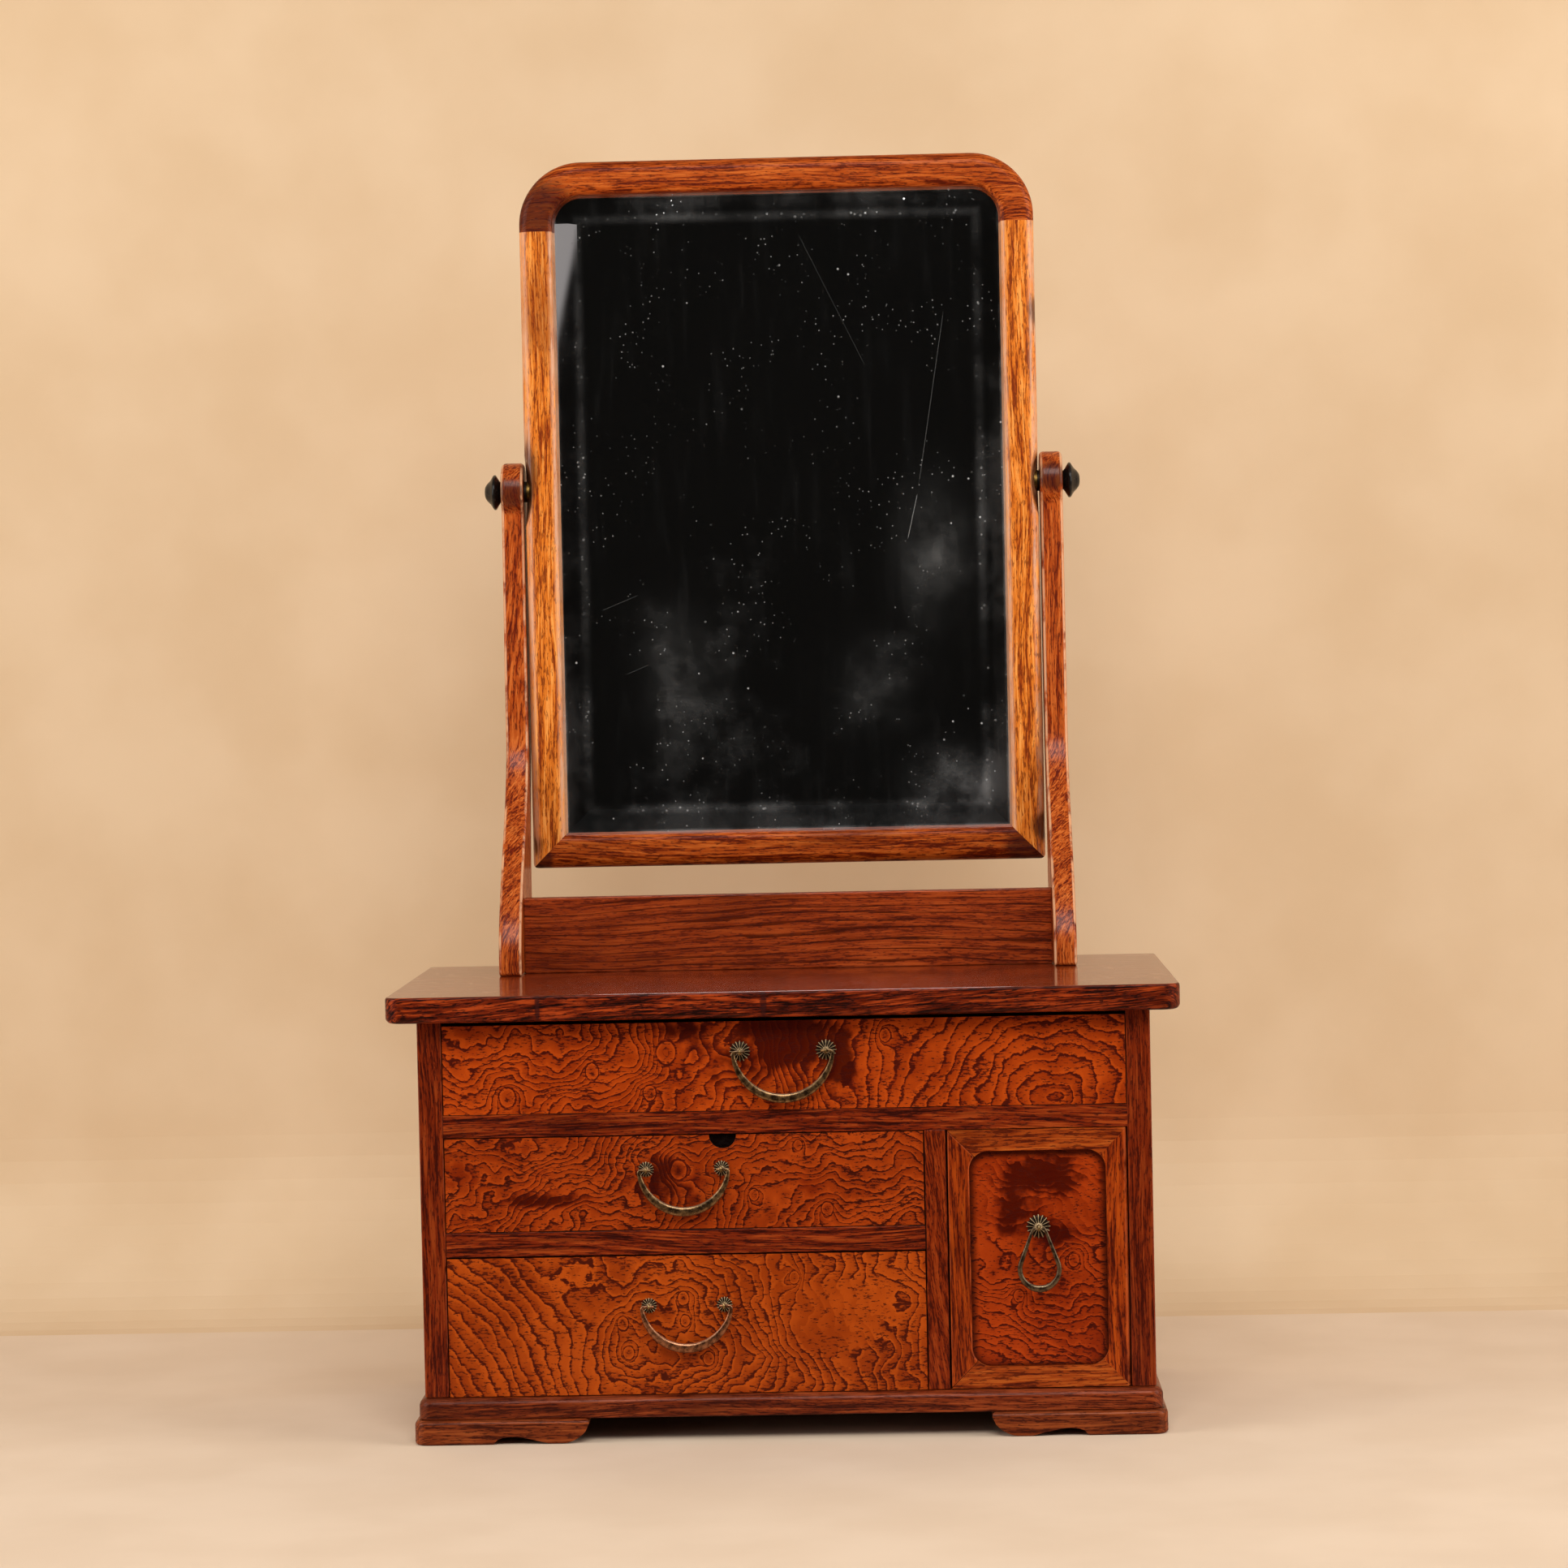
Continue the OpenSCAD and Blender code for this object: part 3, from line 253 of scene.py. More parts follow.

# The card glows, soft at its leaning right edge, which the glass's bevel shows as a pale wedge: a
# painted reflection.
glowing_card_material, wire, shader = new_finish("glowing_card")
card_y, card_left, edge_top, edge_foot = -3.2, -1.5, (-1.019, 1.16), (-1.103, 0.8)
edge_lean, edge_soft = 0.234, 0.012
x, _, z = wire.place().axes()
past_edge = x - z * edge_lean - (edge_top[0] - edge_lean * edge_top[1])
glow = past_edge.ramp(0.0, -edge_soft).blend((0, 0, 0, 1), rgb(226, 216, 214))
plug(shader, {"Base Color": (0.0, 0.0, 0.0, 1), "Roughness": 1.0, "Emission Color": glow,
              "Emission Strength": 0.4})
card = sheet("card_at_the_left", [
    (edge_top[0], card_y, edge_top[1]), (edge_foot[0], card_y, edge_foot[1]),
    (card_left, card_y, edge_foot[1]), (card_left, card_y, edge_top[1])],
    [(0, 1, 2, 3)], glowing_card_material)
# Neither is seen by the camera or lights anything: both show only in reflections, as painted
# reflections.
for mirrored in (room, card):
    mirrored.visible_camera = False
    mirrored.visible_diffuse = False
    mirrored.visible_shadow = False
    mirrored.visible_transmission = False


def lamp(name, power, width, height, place, target):
    light = bpy.data.lights.new(name, "AREA")
    light.shape = "RECTANGLE"
    light.energy = power
    light.size = width
    light.size_y = height
    light.color = (1.0, 0.98, 0.95)
    holder = bpy.data.objects.new(name, light)
    holder.location = place
    holder.rotation_euler = (Vector(target) - Vector(place)).to_track_quat("-Z", "Y").to_euler()
    scene.collection.objects.link(holder)


lamp("left_lamp", 26, 1.3, 1.5, (-1.85, -0.75, 0.95), (0, 0, 0.45))
lamp("right_lamp", 30, 1.3, 1.5, (1.9, -0.65, 1.05), (0, 0, 0.45))
lamp("front_lamp", 46, 1.6, 1.0, (0.15, -2.1, 2.05), (0, 0, 0.3))

world = bpy.data.worlds.new("soft_room")
world.use_nodes = True
scene.world = world
seen = Wire(world.node_tree).node("ShaderNodeLightPath", out=0)
plug(world.node_tree.nodes["Background"],
     {"Color": seen.blend((0.13, 0.125, 0.12, 1), rgb(222, 200, 172)), "Strength": 1.0})


# Base board and feet
# A thin board with a rounded edge on two fretted brackets and two side runners,
# mitred at the front corners, in dark red-brown wood under a glossy lacquer.
def board_along(axis):
    """The turn that brings a board's grain from that axis to X."""
    return {"X": (0, 0, 0), "Y": (0, 0, -math.pi / 2), "Z": (0, math.pi / 2, 0)}[axis]


def toned(colour, red, green, blue):
    """A colour with its channels multiplied."""
    return (colour[0] * red, colour[1] * green, colour[2] * blue, 1)


def grained_wood(name, grain_axis, tones, pores=0.7, seed=0.0, lean=0.0, rough=0.22, coat=0.07,
                 worn=0.5, lines=0.0, swept=False, upward_tone=None, arris_colour=None, side=None, stains=()):
    """Straight-grained wood with open dark pores, under an old lacquer. Its tones are dark,
    middle and light, and lines is how strong its dark growth lines are. The colour
    arris_colour goes on rubbed arrises: wear by default, painted shade with some dirt on the
    rails and partition, and wear with a painted highlight on the posts. side is a painted
    highlight on faces turned sideways, and upward_tone a colour on faces turned up.
    swept is set for a board that is curved when seen from the side. Each stain has a place
    x, z and a reach along both."""
    material, wire, shader = new_finish(name)
    dark, middle, light = tones
    place = wire.place()
    place_x, _, place_z = place.axes()
    laid = place.mapped(rotation=board_along(grain_axis)).mapped(
        (seed, seed * 1.7, seed * 0.6), (0, lean, lean / 2))
    along, across, up = laid.axes()
    ring = across * 0.8 + up * 0.6 + laid.scaled((0.2, 1, 1)).noise(16.0, 2.0) * 0.02
    ray = (up * 0.8 - across * 0.6) * 0.25
    fibres = wire.node("ShaderNodeCombineXYZ", [along * 0.03, ring, ray])
    streak = fibres.noise(1500.0, 3.0, 0.6)
    season = fibres.noise(480.0, 2.0, 0.5)
    dashes = wire.node("ShaderNodeCombineXYZ", [along * 0.12, ring, ray * 2.0]).noise(
        1600.0, 2.0, 0.6)
    tone = streak * 0.6 + season * 0.4
    wood = tone.ramp(0.4, 0.5).blend(dark, middle)
    wood = tone.ramp(0.5, 0.62).blend(wood, light)
    open_pores = (dashes - (tone - 0.5) * 0.8).ramp(0.52, 0.6) * pores
    wood = open_pores.blend(wood, toned(dark, 0.4, 0.3, 0.3))
    if lines:
        year_width = 0.0032
        year = ((ring + season * 0.004) / year_width).fraction()
        crease = year.ramp(0.0, 0.04) * year.ramp(0.3, 0.1) * (dashes * 0.7 + 0.5) * lines
        wood = crease.blend(wood, toned(dark, 0.25, 0.2, 0.2))
    age = laid.scaled((0.4, 1, 1)).noise(11.0, 4.0, 0.62)
    wood = (age.ramp(0.56, 0.72) * 0.55).blend(wood, toned(dark, 0.5, 0.45, 0.45))
    right, back, top = wire.facing().axes()
    upwards = top.ramp(0.8, 0.98)
    # A given colour is blended onto faces turned up.
    if upward_tone:
        wood = (upwards * 0.6).blend(wood, upward_tone)
    squared = abs(back).at_least(abs(top))
    rolled = (1 - right * right).root()
    arris = 1 - abs(right).at_least(rolled if swept else squared)
    rub = place.noise(48.0, 4.0, 0.65)
    # Rubbed arrises take the given colour: wear by default, painted shade with some dirt on the
    # rails and partition, wear with a painted highlight on the posts.
    edge = arris.ramp(0.01, 0.14) * rub.ramp(0.38, 0.54) * worn
    wood = edge.blend(wood, arris_colour or (light[0] * 1.3 + 0.02, light[1] * 1.4 + 0.02,
                                     light[2] * 1.5 + 0.02, 1))
    # A pale painted highlight on faces turned sideways, where the lacquer would catch the side
    # lamps.
    if side:
        side_highlight = abs(right).ramp(0.15, 0.6) * (streak + rub * 0.5).ramp(0.95, 0.6)
        wood = (side_highlight * 0.9).blend(wood, side)
    for spot_x, spot_z, wide, tall in stains:
        off_x = (place_x - spot_x) / wide
        off_z = (place_z - spot_z) / tall
        uneven = (age - 0.5) * 3.0 + (streak - 0.5) * 2.0 + 1.0
        blot = (-(off_x * off_x + off_z * off_z)).exp() * uneven
        wood = (blot.ramp(0.25, 0.75) * (1 - upwards) * 0.8).blend(wood, rgb(50, 17, 14))
    dull = place.noise(110.0, 3.0, 0.6)
    relief = (open_pores * -0.5 + streak * 0.35).bump(0.35, 0.0005)
    plug(shader, {"Base Color": wood, "Normal": relief, "Specular IOR Level": 0.06,
                  "Coat Weight": upwards * 0.75 + coat if upward_tone else coat,
                  "Coat Roughness": 0.1 if upward_tone else 0.2,
                  "Roughness": dull * 0.2 + open_pores * 0.25 + rough})
    return material


def seat(piece, node):
    """The piece takes the place of a CAD node: its body and its room."""
    bodies = frame["record"]["behaviour"]["bodies"]
    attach(piece, next(body for body, nodes in bodies.items() if node in nodes))
    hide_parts(node)


def finished(piece):
    """The piece with its modifiers made part of its mesh."""
    shown = piece.evaluated_get(bpy.context.evaluated_depsgraph_get())
    mesh = bpy.data.meshes.new_from_object(shown)
    piece.modifiers.clear()
    piece.data = mesh
    return piece


def formed(name, form, material):
    """A smooth-shaded piece from a bmesh, which it uses up."""
    mesh = bpy.data.meshes.new(name)
    form.to_mesh(mesh)
    form.free()
    mesh.shade_smooth()
    return new_piece(name, mesh, material)


def board(node, material, arris=0.0007, steps=2, clamp=True):
    """A piece of joinery cut to its node's shape, with its sharp arrises rubbed down."""
    flat_angle, sharp_angle = math.radians(0.3), math.radians(28)
    cut = bmesh.new()
    cut.from_mesh(frame["nodes"][node].data)
    bmesh.ops.remove_doubles(cut, verts=cut.verts, dist=1e-6)
    bmesh.ops.dissolve_limit(cut, angle_limit=flat_angle, verts=cut.verts, edges=cut.edges)
    piece = formed(node + "_wood", cut, material)
    rub = piece.modifiers.new("rub", "BEVEL")
    rub.width = arris
    rub.segments = steps
    rub.limit_method = "ANGLE"
    rub.angle_limit = sharp_angle
    rub.use_clamp_overlap = clamp
    even = piece.modifiers.new("even", "WEIGHTED_NORMAL")
    even.keep_sharp = True
    seat(finished(piece), node)


base_tones = rgb(66, 20, 6), rgb(102, 36, 12), rgb(140, 62, 26)
foot_tones = rgb(76, 26, 8), rgb(112, 46, 17), rgb(142, 68, 29)
board("base_board", grained_wood("base_wood", "X", base_tones, seed=0.3, worn=0.15, coat=0.08),
      0.0012, 3)
board("front_feet", grained_wood("front_foot_wood", "X", foot_tones, seed=0.6, worn=0.15,
                                 coat=0.08), 0.0014, 3)
board("side_feet", grained_wood("side_foot_wood", "Y", foot_tones, seed=0.9, worn=0.15,
                                coat=0.08), 0.0014, 3)

# Case sides, rails and partition
# Straight-grained boards, darker than the drawer fronts. The rails and the
# partition stand flush with the front edges of the sides. Their arrises beside
# the gaps are painted dark: painted shade with some dirt.
# Painted shade with some dirt, for the arrises beside the gaps.
gap_shade_and_dirt = rgb(40, 10, 3)
upright_wood = grained_wood("upright_wood", "Z", (rgb(74, 17, 3), rgb(108, 33, 7),
                                                  rgb(134, 53, 16)), seed=1.4)
rail_wood = grained_wood("rail_wood", "X", (rgb(60, 12, 3), rgb(112, 34, 8), rgb(150, 62, 20)),
                         seed=2.1, lines=0.4, worn=1.0, arris_colour=gap_shade_and_dirt)
partition_wood = grained_wood("partition_wood", "Z", (rgb(76, 18, 3), rgb(114, 35, 6),
                                                      rgb(140, 54, 14)),
                              seed=2.9, lean=0.32, worn=1.0, arris_colour=gap_shade_and_dirt)
for node in ("side_board_left", "side_board_right"):
    board(node, upright_wood, 0.001)
for node in ("rail_upper", "rail_lower"):
    board(node, rail_wood)
board("partition", partition_wood)


# Back board and shelves
# Plain pale softwood without lacquer, dusty and a little stained, since only the
# open drawers and the back of the case show it.
def plain_wood(name, grain_axis, seed):
    """Unlacquered pale softwood with soft growth lines and a brown bloom of age."""
    material, wire, shader = new_finish(name)
    place = wire.place()
    laid = place.mapped((seed, seed * 1.3, seed * 0.7), board_along(grain_axis))
    _, across, up = laid.axes()
    sway = laid.scaled((0.15, 1, 1)).noise(14.0, 2.0)
    year_width = 0.0065
    year = ((across + up + sway * 0.09) / year_width).fraction()
    line = year.ramp(0.4, 0.95) * year.ramp(1.0, 0.9) * laid.scaled((0.1, 1, 1)).noise(90.0, 2.0)
    fibre = laid.scaled((0.04, 1, 1)).noise(900.0, 3.0, 0.6)
    bloom = place.noise(9.0, 5.0, 0.6)
    wood = (line * 0.9 + fibre * 0.4).blend(rgb(196, 158, 112), rgb(150, 104, 62))
    wood = bloom.ramp(0.45, 0.75).blend(wood, rgb(122, 84, 52))
    plug(shader, {"Base Color": wood, "Roughness": fibre * 0.2 + 0.6,
                  "Normal": (fibre * 0.5 + line * 0.3).bump(0.5, 0.0004)})
    return material


board("back_board", plain_wood("back_board_wood", "X", 0.2))
shelf_wood = plain_wood("shelf_wood", "X", 1.1)
for node in ("shelf_upper", "shelf_lower"):
    board(node, shelf_wood)

# Top board
# One wide board with a rounded edge all round its front and sides. Its top is
# glossy and of a lighter red than its edge, which shows coarse grain with two dark bruises.
top_low, top_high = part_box("top_board")
edge_z = (top_low.z + top_high.z) / 2
# The faces turned up take a lighter red.
top_wood = grained_wood("top_wood", "X", (rgb(40, 9, 3), rgb(92, 26, 8), rgb(160, 62, 22)),
                        seed=3.3, lean=0.12, rough=0.2, coat=0.06, worn=0.05, pores=0.85,
                        upward_tone=rgb(120, 44, 16),
                        stains=[(-0.1394, edge_z, 0.0015, 0.01), (-0.0102, edge_z, 0.002, 0.01)])
board("top_board", top_wood, 0.0008)


# Drawers
# Each front is cut from finely figured wood with wavy growth lines and small
# knots. It laps over sides and a bottom of plain softwood, like the back.
def figured_wood(name, middle, tones, seed, near_left, near_right, change, swing, knots, mottle,
                 clouds=(), spacing=0.0062, bare=(), notch=None, recess=None):
    """Figured wood with plain, band and pore tones. Its growth lines are arcs round two
    points, bent by waves and cut by knots, and each begins with a row of short dark pores.
    Places are taken from its middle. From the range change of x on, the right arcs rule.
    swing is how far the waves bend either set of arcs, and mottle is the share of the wood's
    own dark spots. Dark clouds, bare wood without pores, and the notch, whose inside is painted
    near black, have a place x, z and a reach. A recess has its half sizes, corner radius and
    shadow_drop: round its opening the panel is painted dark, a painted shadow with some dirt,
    reaching further down at the top."""
    material, wire, shader = new_finish(name)
    plain, band, pore = tones
    place = wire.place()
    laid = place.mapped((-middle.x, 0, -middle.z))
    shifted = laid.mapped((seed, seed, seed))
    x, _, z = laid.axes()

    def away_from(spot_x, spot_z, wide=1.0, tall=1.0):
        return ((x - spot_x) * (x - spot_x) / (wide * wide)
                + (z - spot_z) * (z - spot_z) / (tall * tall))

    wide_wave = shifted.scaled((0.8, 1, 1.1)).noise(19.0, 1.0)
    wave = shifted.noise(58.0, 1.5)
    ripple = shifted.scaled((1, 1, 0.8)).noise(190.0, 2.0)
    dashes = shifted.scaled((0.3, 1, 1)).noise(1050.0, 2.0, 0.6)
    apart = math.hypot(near_left[0] - near_right[0], near_left[1] - near_right[1])
    turn = x.ramp(*change)
    from_left, from_right = away_from(*near_left).root(), away_from(*near_right).root()
    arcs = from_left * (1 - turn) + (apart - from_right) * turn
    unrest = swing[0] * (1 - turn) + swing[1] * turn
    growth = (arcs + ((wide_wave - 0.5) * 0.075 + (wave - 0.5) * 0.03) * unrest
              + (ripple - 0.5) * 0.005 + (dashes - 0.5) * 0.0015)
    for knot_x, knot_z, reach in knots:
        hill = (-away_from(knot_x, knot_z, reach * 2, reach * 2.4)).exp()
        growth = growth + hill * (spacing * 2.5)
    year = (growth / spacing).fraction()
    for knot_x, knot_z, reach in knots:
        off = away_from(knot_x, knot_z, reach, reach * 1.25) + (ripple - 0.5) * 0.9
        inside = off.at_least(0.0).root()
        year = year + (inside.fraction() - year) * inside.ramp(1.32, 1.26)
    quiet = 0.0
    for bare_x, bare_z, wide, tall in bare:
        blank = away_from(bare_x, bare_z, wide, tall) + (wide_wave - 0.5) * 1.5
        quiet = blank.ramp(1.3, 0.7).at_least(quiet)
    fill = shifted.scaled((0.7, 1, 1)).noise(36.0, 2.0)
    early = year.ramp(0.0, 0.05) * (year + (fill - 0.5) * 1.6).ramp(0.75, 0.1) * (1 - quiet)
    first_row = year.ramp(0.0, 0.04) * year.ramp(0.24, 0.12) * (1 - quiet)
    fringe = year.ramp(0.72, 0.9) * year.ramp(1.0, 0.97) * (1 - quiet)
    loose = shifted.scaled((0.5, 1, 1)).noise(70.0, 2.0)
    pores = (dashes + early * 0.07 + first_row * 0.15 + (loose - 0.5) * 0.16).ramp(0.57, 0.66)
    sheen = shifted.noise(30.0, 3.0, 0.55)
    wood = (sheen + (year - 0.5) * 0.15).ramp(0.66, 0.34).blend(plain,
                                                                toned(plain, 0.68, 0.58, 0.55))
    wood = (early * (dashes.ramp(0.4, 0.6) * 0.5 + 0.15) + first_row * 0.45).blend(wood, band)
    wood = (fringe * 0.45).blend(wood, toned(plain, 1.25, 1.35, 1.3))
    spots = shifted.noise(42.0, 4.0, 0.62)
    murk = spots.ramp(0.56, 0.72) * mottle
    for cloud_x, cloud_z, wide, tall in clouds:
        cloud = (-away_from(cloud_x, cloud_z, wide, tall)).exp()
        murk = murk.at_least((cloud + (spots - 0.5) * 2.2 + (0.5 - year) * 0.3).ramp(0.3, 0.85))
    wood = (murk * 0.9).blend(wood, murk.blend(rgb(116, 24, 4), rgb(54, 4, 1)))
    wood = (pores * (0.85 - murk * 0.5)).blend(wood, pore)
    forwards = abs(wire.facing().axes()[1])
    rub = place.noise(60.0, 4.0, 0.6)
    wood = (forwards.ramp(0.995, 0.96) * rub.ramp(0.42, 0.6) * 0.6).blend(wood, rgb(190, 98, 40))
    # Faces turned away from the front, the walls of the gaps, are painted dark: painted shade with
    # some dirt.
    wood = forwards.ramp(0.9, 0.7).blend(wood, rgb(34, 10, 4))
    if recess:
        half_x, half_z, round_r, shadow_drop = recess
        past_x = (abs(x) - (half_x - round_r)).at_least(0.0)
        past_z = (abs(z + shadow_drop) - (half_z - round_r)).at_least(0.0)
        corner = (past_x * past_x + past_z * past_z).root()
        # Painted shadow with some dirt: the panel is dark round its opening, reaching further down
        # at the top, as if the frame shaded it.
        recess_shade = corner.ramp(round_r - 0.005, round_r - 0.0005)
        wood = (recess_shade * 0.8).blend(wood, rgb(40, 7, 2))
    # The notch's inside, behind the face, is painted near black.
    if notch:
        notch_x, notch_z, face_y, reach = notch
        inwards = (place.axes()[1] - face_y).ramp(0.0006, 0.0012)
        notch_oval = away_from(notch_x, notch_z, reach, reach).ramp(1.1, 0.98)
        wood = (inwards * notch_oval).blend(wood, rgb(14, 5, 4))
    plug(shader, {"Base Color": wood, "Roughness": pores * 0.25 + sheen * 0.1 + 0.26,
                  "Normal": (pores * -0.5 + sheen * 0.2).bump(0.35, 0.0004),
                  "Coat Weight": 0.05, "Coat Roughness": 0.18, "Specular IOR Level": 0.05})
    return material


def middle_of(node):
    low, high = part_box(node)
    return (low + high) / 2


board("drawer_top_front", figured_wood(
    "drawer_top_face", middle_of("drawer_top_front"),
    (rgb(166, 62, 10), rgb(110, 28, 5), rgb(56, 9, 2)), 4.2,
    near_left=(-0.17, 0.09), near_right=(0.158, -0.02, 1.35), change=(-0.03, 0.07),
    swing=(1.0, 0.45), mottle=0.3, spacing=0.0068,
    knots=[(-0.067, 0.008, 0.0052), (-0.11, -0.002, 0.0036), (-0.077, -0.015, 0.0034),
           (-0.159, -0.016, 0.0045), (0.059, 0.016, 0.003)],
    clouds=[(0.0, 0.012, 0.044, 0.03), (-0.012, 0.018, 0.02, 0.024), (0.032, 0.0, 0.016, 0.03),
            (-0.058, 0.021, 0.024, 0.008)]))
front = middle_of("drawer_middle_front")
front_low, front_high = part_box("drawer_middle_front")
notch_x, notch_reach = -0.03575, 0.0082
board("drawer_middle_front", figured_wood(
    "drawer_middle_face", front, (rgb(156, 58, 10), rgb(96, 25, 5), rgb(46, 8, 2)), 7.7,
    near_left=(-0.15, 0.09), near_right=(0.11, -0.09), change=(-0.04, 0.04), swing=(1.1, 1.0),
    mottle=0.45, spacing=0.0066,
    knots=[(-0.003, 0.007, 0.0044), (0.04, -0.008, 0.0026), (0.082, -0.017, 0.003),
           (0.066, 0.02, 0.0024)],
    clouds=[(-0.01, 0.0, 0.026, 0.02), (-0.08, -0.01, 0.03, 0.006)],
    notch=(notch_x - front.x, front_high.z - front.z, front_low.y, notch_reach)))
board("drawer_bottom_front", figured_wood(
    "drawer_bottom_face", middle_of("drawer_bottom_front"),
    (rgb(166, 68, 12), rgb(112, 34, 6), rgb(58, 13, 3)), 11.3,
    near_left=(-0.2, -0.07), near_right=(-0.02, -0.011), change=(-0.09, -0.03),
    swing=(0.25, 0.9), mottle=0.0, spacing=0.0072,
    knots=[(-0.002, 0.015, 0.003), (-0.001, 0.002, 0.0026), (-0.037, 0.001, 0.003),
           (-0.034, -0.016, 0.003), (0.012, -0.02, 0.003), (0.062, 0.026, 0.0028)],
    bare=[(0.088, 0.002, 0.024, 0.02)]))
drawer_side_wood = plain_wood("drawer_side_wood", "Y", 0.4)
drawer_back_wood = plain_wood("drawer_back_wood", "X", 0.8)
for drawer in ("top", "middle", "bottom"):
    board(f"drawer_{drawer}_sides", drawer_side_wood)
    board(f"drawer_{drawer}_back", drawer_back_wood)
    board(f"drawer_{drawer}_bottom", drawer_back_wood)

# Door
# A small mitred frame round a recessed panel of the same figured wood. It turns
# on two pins let into its top and bottom edges at the right.
door_rail_wood = grained_wood("door_rail_wood", "X", (rgb(98, 30, 4), rgb(144, 58, 13),
                                                      rgb(170, 82, 26)), seed=5.2)
door_stile_wood = grained_wood("door_stile_wood", "Z", (rgb(84, 20, 3), rgb(138, 48, 7),
                                                        rgb(166, 68, 12)), seed=5.9)
for node in ("door_stile_left", "door_stile_right"):
    board(node, door_stile_wood, 0.0011)
for node in ("door_rail_top", "door_rail_bottom"):
    board(node, door_rail_wood, 0.0011)
panel_low, panel_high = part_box("door_panel")
panel_lap, opening_r, recess_shadow_drop = 0.004, 0.011, 0.0012
board("door_panel", figured_wood(
    "door_panel_face", middle_of("door_panel"),
    (rgb(158, 54, 9), rgb(112, 28, 5), rgb(52, 8, 2)), 15.1,
    near_left=(0.06, 0.16), near_right=(-0.2, 0.1), change=(0.3, 0.4), swing=(0.75, 0.75),
    mottle=0.35, knots=[(0.02, -0.002, 0.003), (-0.012, -0.022, 0.0028)],
    clouds=[(0.002, 0.046, 0.034, 0.014), (-0.014, 0.026, 0.02, 0.022),
            (0.008, 0.014, 0.022, 0.012)],
    bare=[(0.0, 0.038, 0.06, 0.03)],
    recess=((panel_high.x - panel_low.x) / 2 - panel_lap,
            (panel_high.z - panel_low.z) / 2 - panel_lap, opening_r, recess_shadow_drop)))


def dress(node, material):
    """Gives a CAD node that stays as it is a new material."""
    frame["nodes"][node].data.materials.clear()
    frame["nodes"][node].data.materials.append(material)


def speckled_metal(name, scale, pale, dark, roughness):
    """A plain metal with fine dark specks."""
    material, wire, shader = new_finish(name)
    speck = wire.place().noise(scale, 3.0)
    plug(shader, {"Base Color": speck.blend(pale, dark), "Roughness": speck * 0.3 + roughness,
                  "Metallic": 1.0})
    return material


pin_brass = speckled_metal("pin_brass", 700.0, rgb(150, 118, 60), rgb(90, 66, 36), 0.3)
dress("door_hinge_pins", pin_brass)


# Handles
# Bails and ring are forged bars, thick in the middle, with thin ends that hook
# into the eyes. Their brown bronze is painted bright where it faces upwards, a
# painted highlight, and has a few bright rubbed spots.
def patina(name, dark, metal, bright, scale, highlight_strength):
    """A mottled brown skin on metal, with a painted highlight where it faces upwards and a few
    bright rubbed spots.
    """
    material, wire, shader = new_finish(name)
    place = wire.place()
    mottle = place.noise(scale, 4.0, 0.65)
    spots = place.noise(scale * 3.1, 2.0)
    upwards = wire.facing().axes()[2]
    skin = mottle.ramp(0.36, 0.62).blend(dark, metal)
    # Painted highlight on faces turned up, with a few random bright rubbed spots.
    top_highlight_and_rub = (upwards.ramp(0.25, 0.95) + spots.ramp(0.6, 0.75) * 0.3) * highlight_strength
    plug(shader, {"Base Color": top_highlight_and_rub.blend(skin, bright), "Roughness": mottle * 0.3 + 0.2,
                  "Metallic": 0.9, "Normal": mottle.bump(0.35, 0.0002)})
    return material


def skinned(form, rings):
    """Closes a tube over its rings of points, with flat ends."""
    count = len(rings[0])
    for one, two in zip(rings, rings[1:]):
        for k in range(count):
            form.faces.new((one[k], one[(k + 1) % count], two[(k + 1) % count], two[k]))
    form.faces.new(rings[0][::-1])
    form.faces.new(rings[-1])


def heading(path, i):
    """The direction of a path of two-figure places at its point i."""
    before, after = path[max(i - 1, 0)], path[min(i + 1, len(path) - 1)]
    return Vector((after[0] - before[0], after[1] - before[1])).normalized()


def rounded_bar(name, stations, middle, material):
    """A closed bar along stations of x, z, half width and half depth, in the XZ plane."""
    facets, squareness = 12, 0.7
    bar = bmesh.new()
    rings = []
    for i, (x, z, half_w, half_d) in enumerate(stations):
        along = heading(stations, i)
        outward = Vector((along.y, 0, -along.x))
        ring = []
        for k in range(facets):
            turn = 2 * math.pi * (k + 0.5) / facets
            side, front = [math.copysign(abs(s) ** squareness, s) for s in (math.cos(turn),
                                                                            math.sin(turn))]
            point = middle + Vector((x, 0, z)) + outward * (half_w * side)
            ring.append(bar.verts.new(point + Vector((0, half_d * front, 0))))
        rings.append(ring)
    skinned(bar, rings)
    bmesh.ops.recalc_face_normals(bar, faces=bar.faces)
    return formed(name, bar, material)


bronze = patina("bail_bronze", rgb(66, 46, 28), rgb(140, 106, 68), rgb(222, 190, 150), 330.0, 0.8)
copper = patina("bottom_bail_bronze", rgb(84, 50, 32), rgb(160, 104, 70), rgb(226, 180, 142),
                330.0, 0.8)


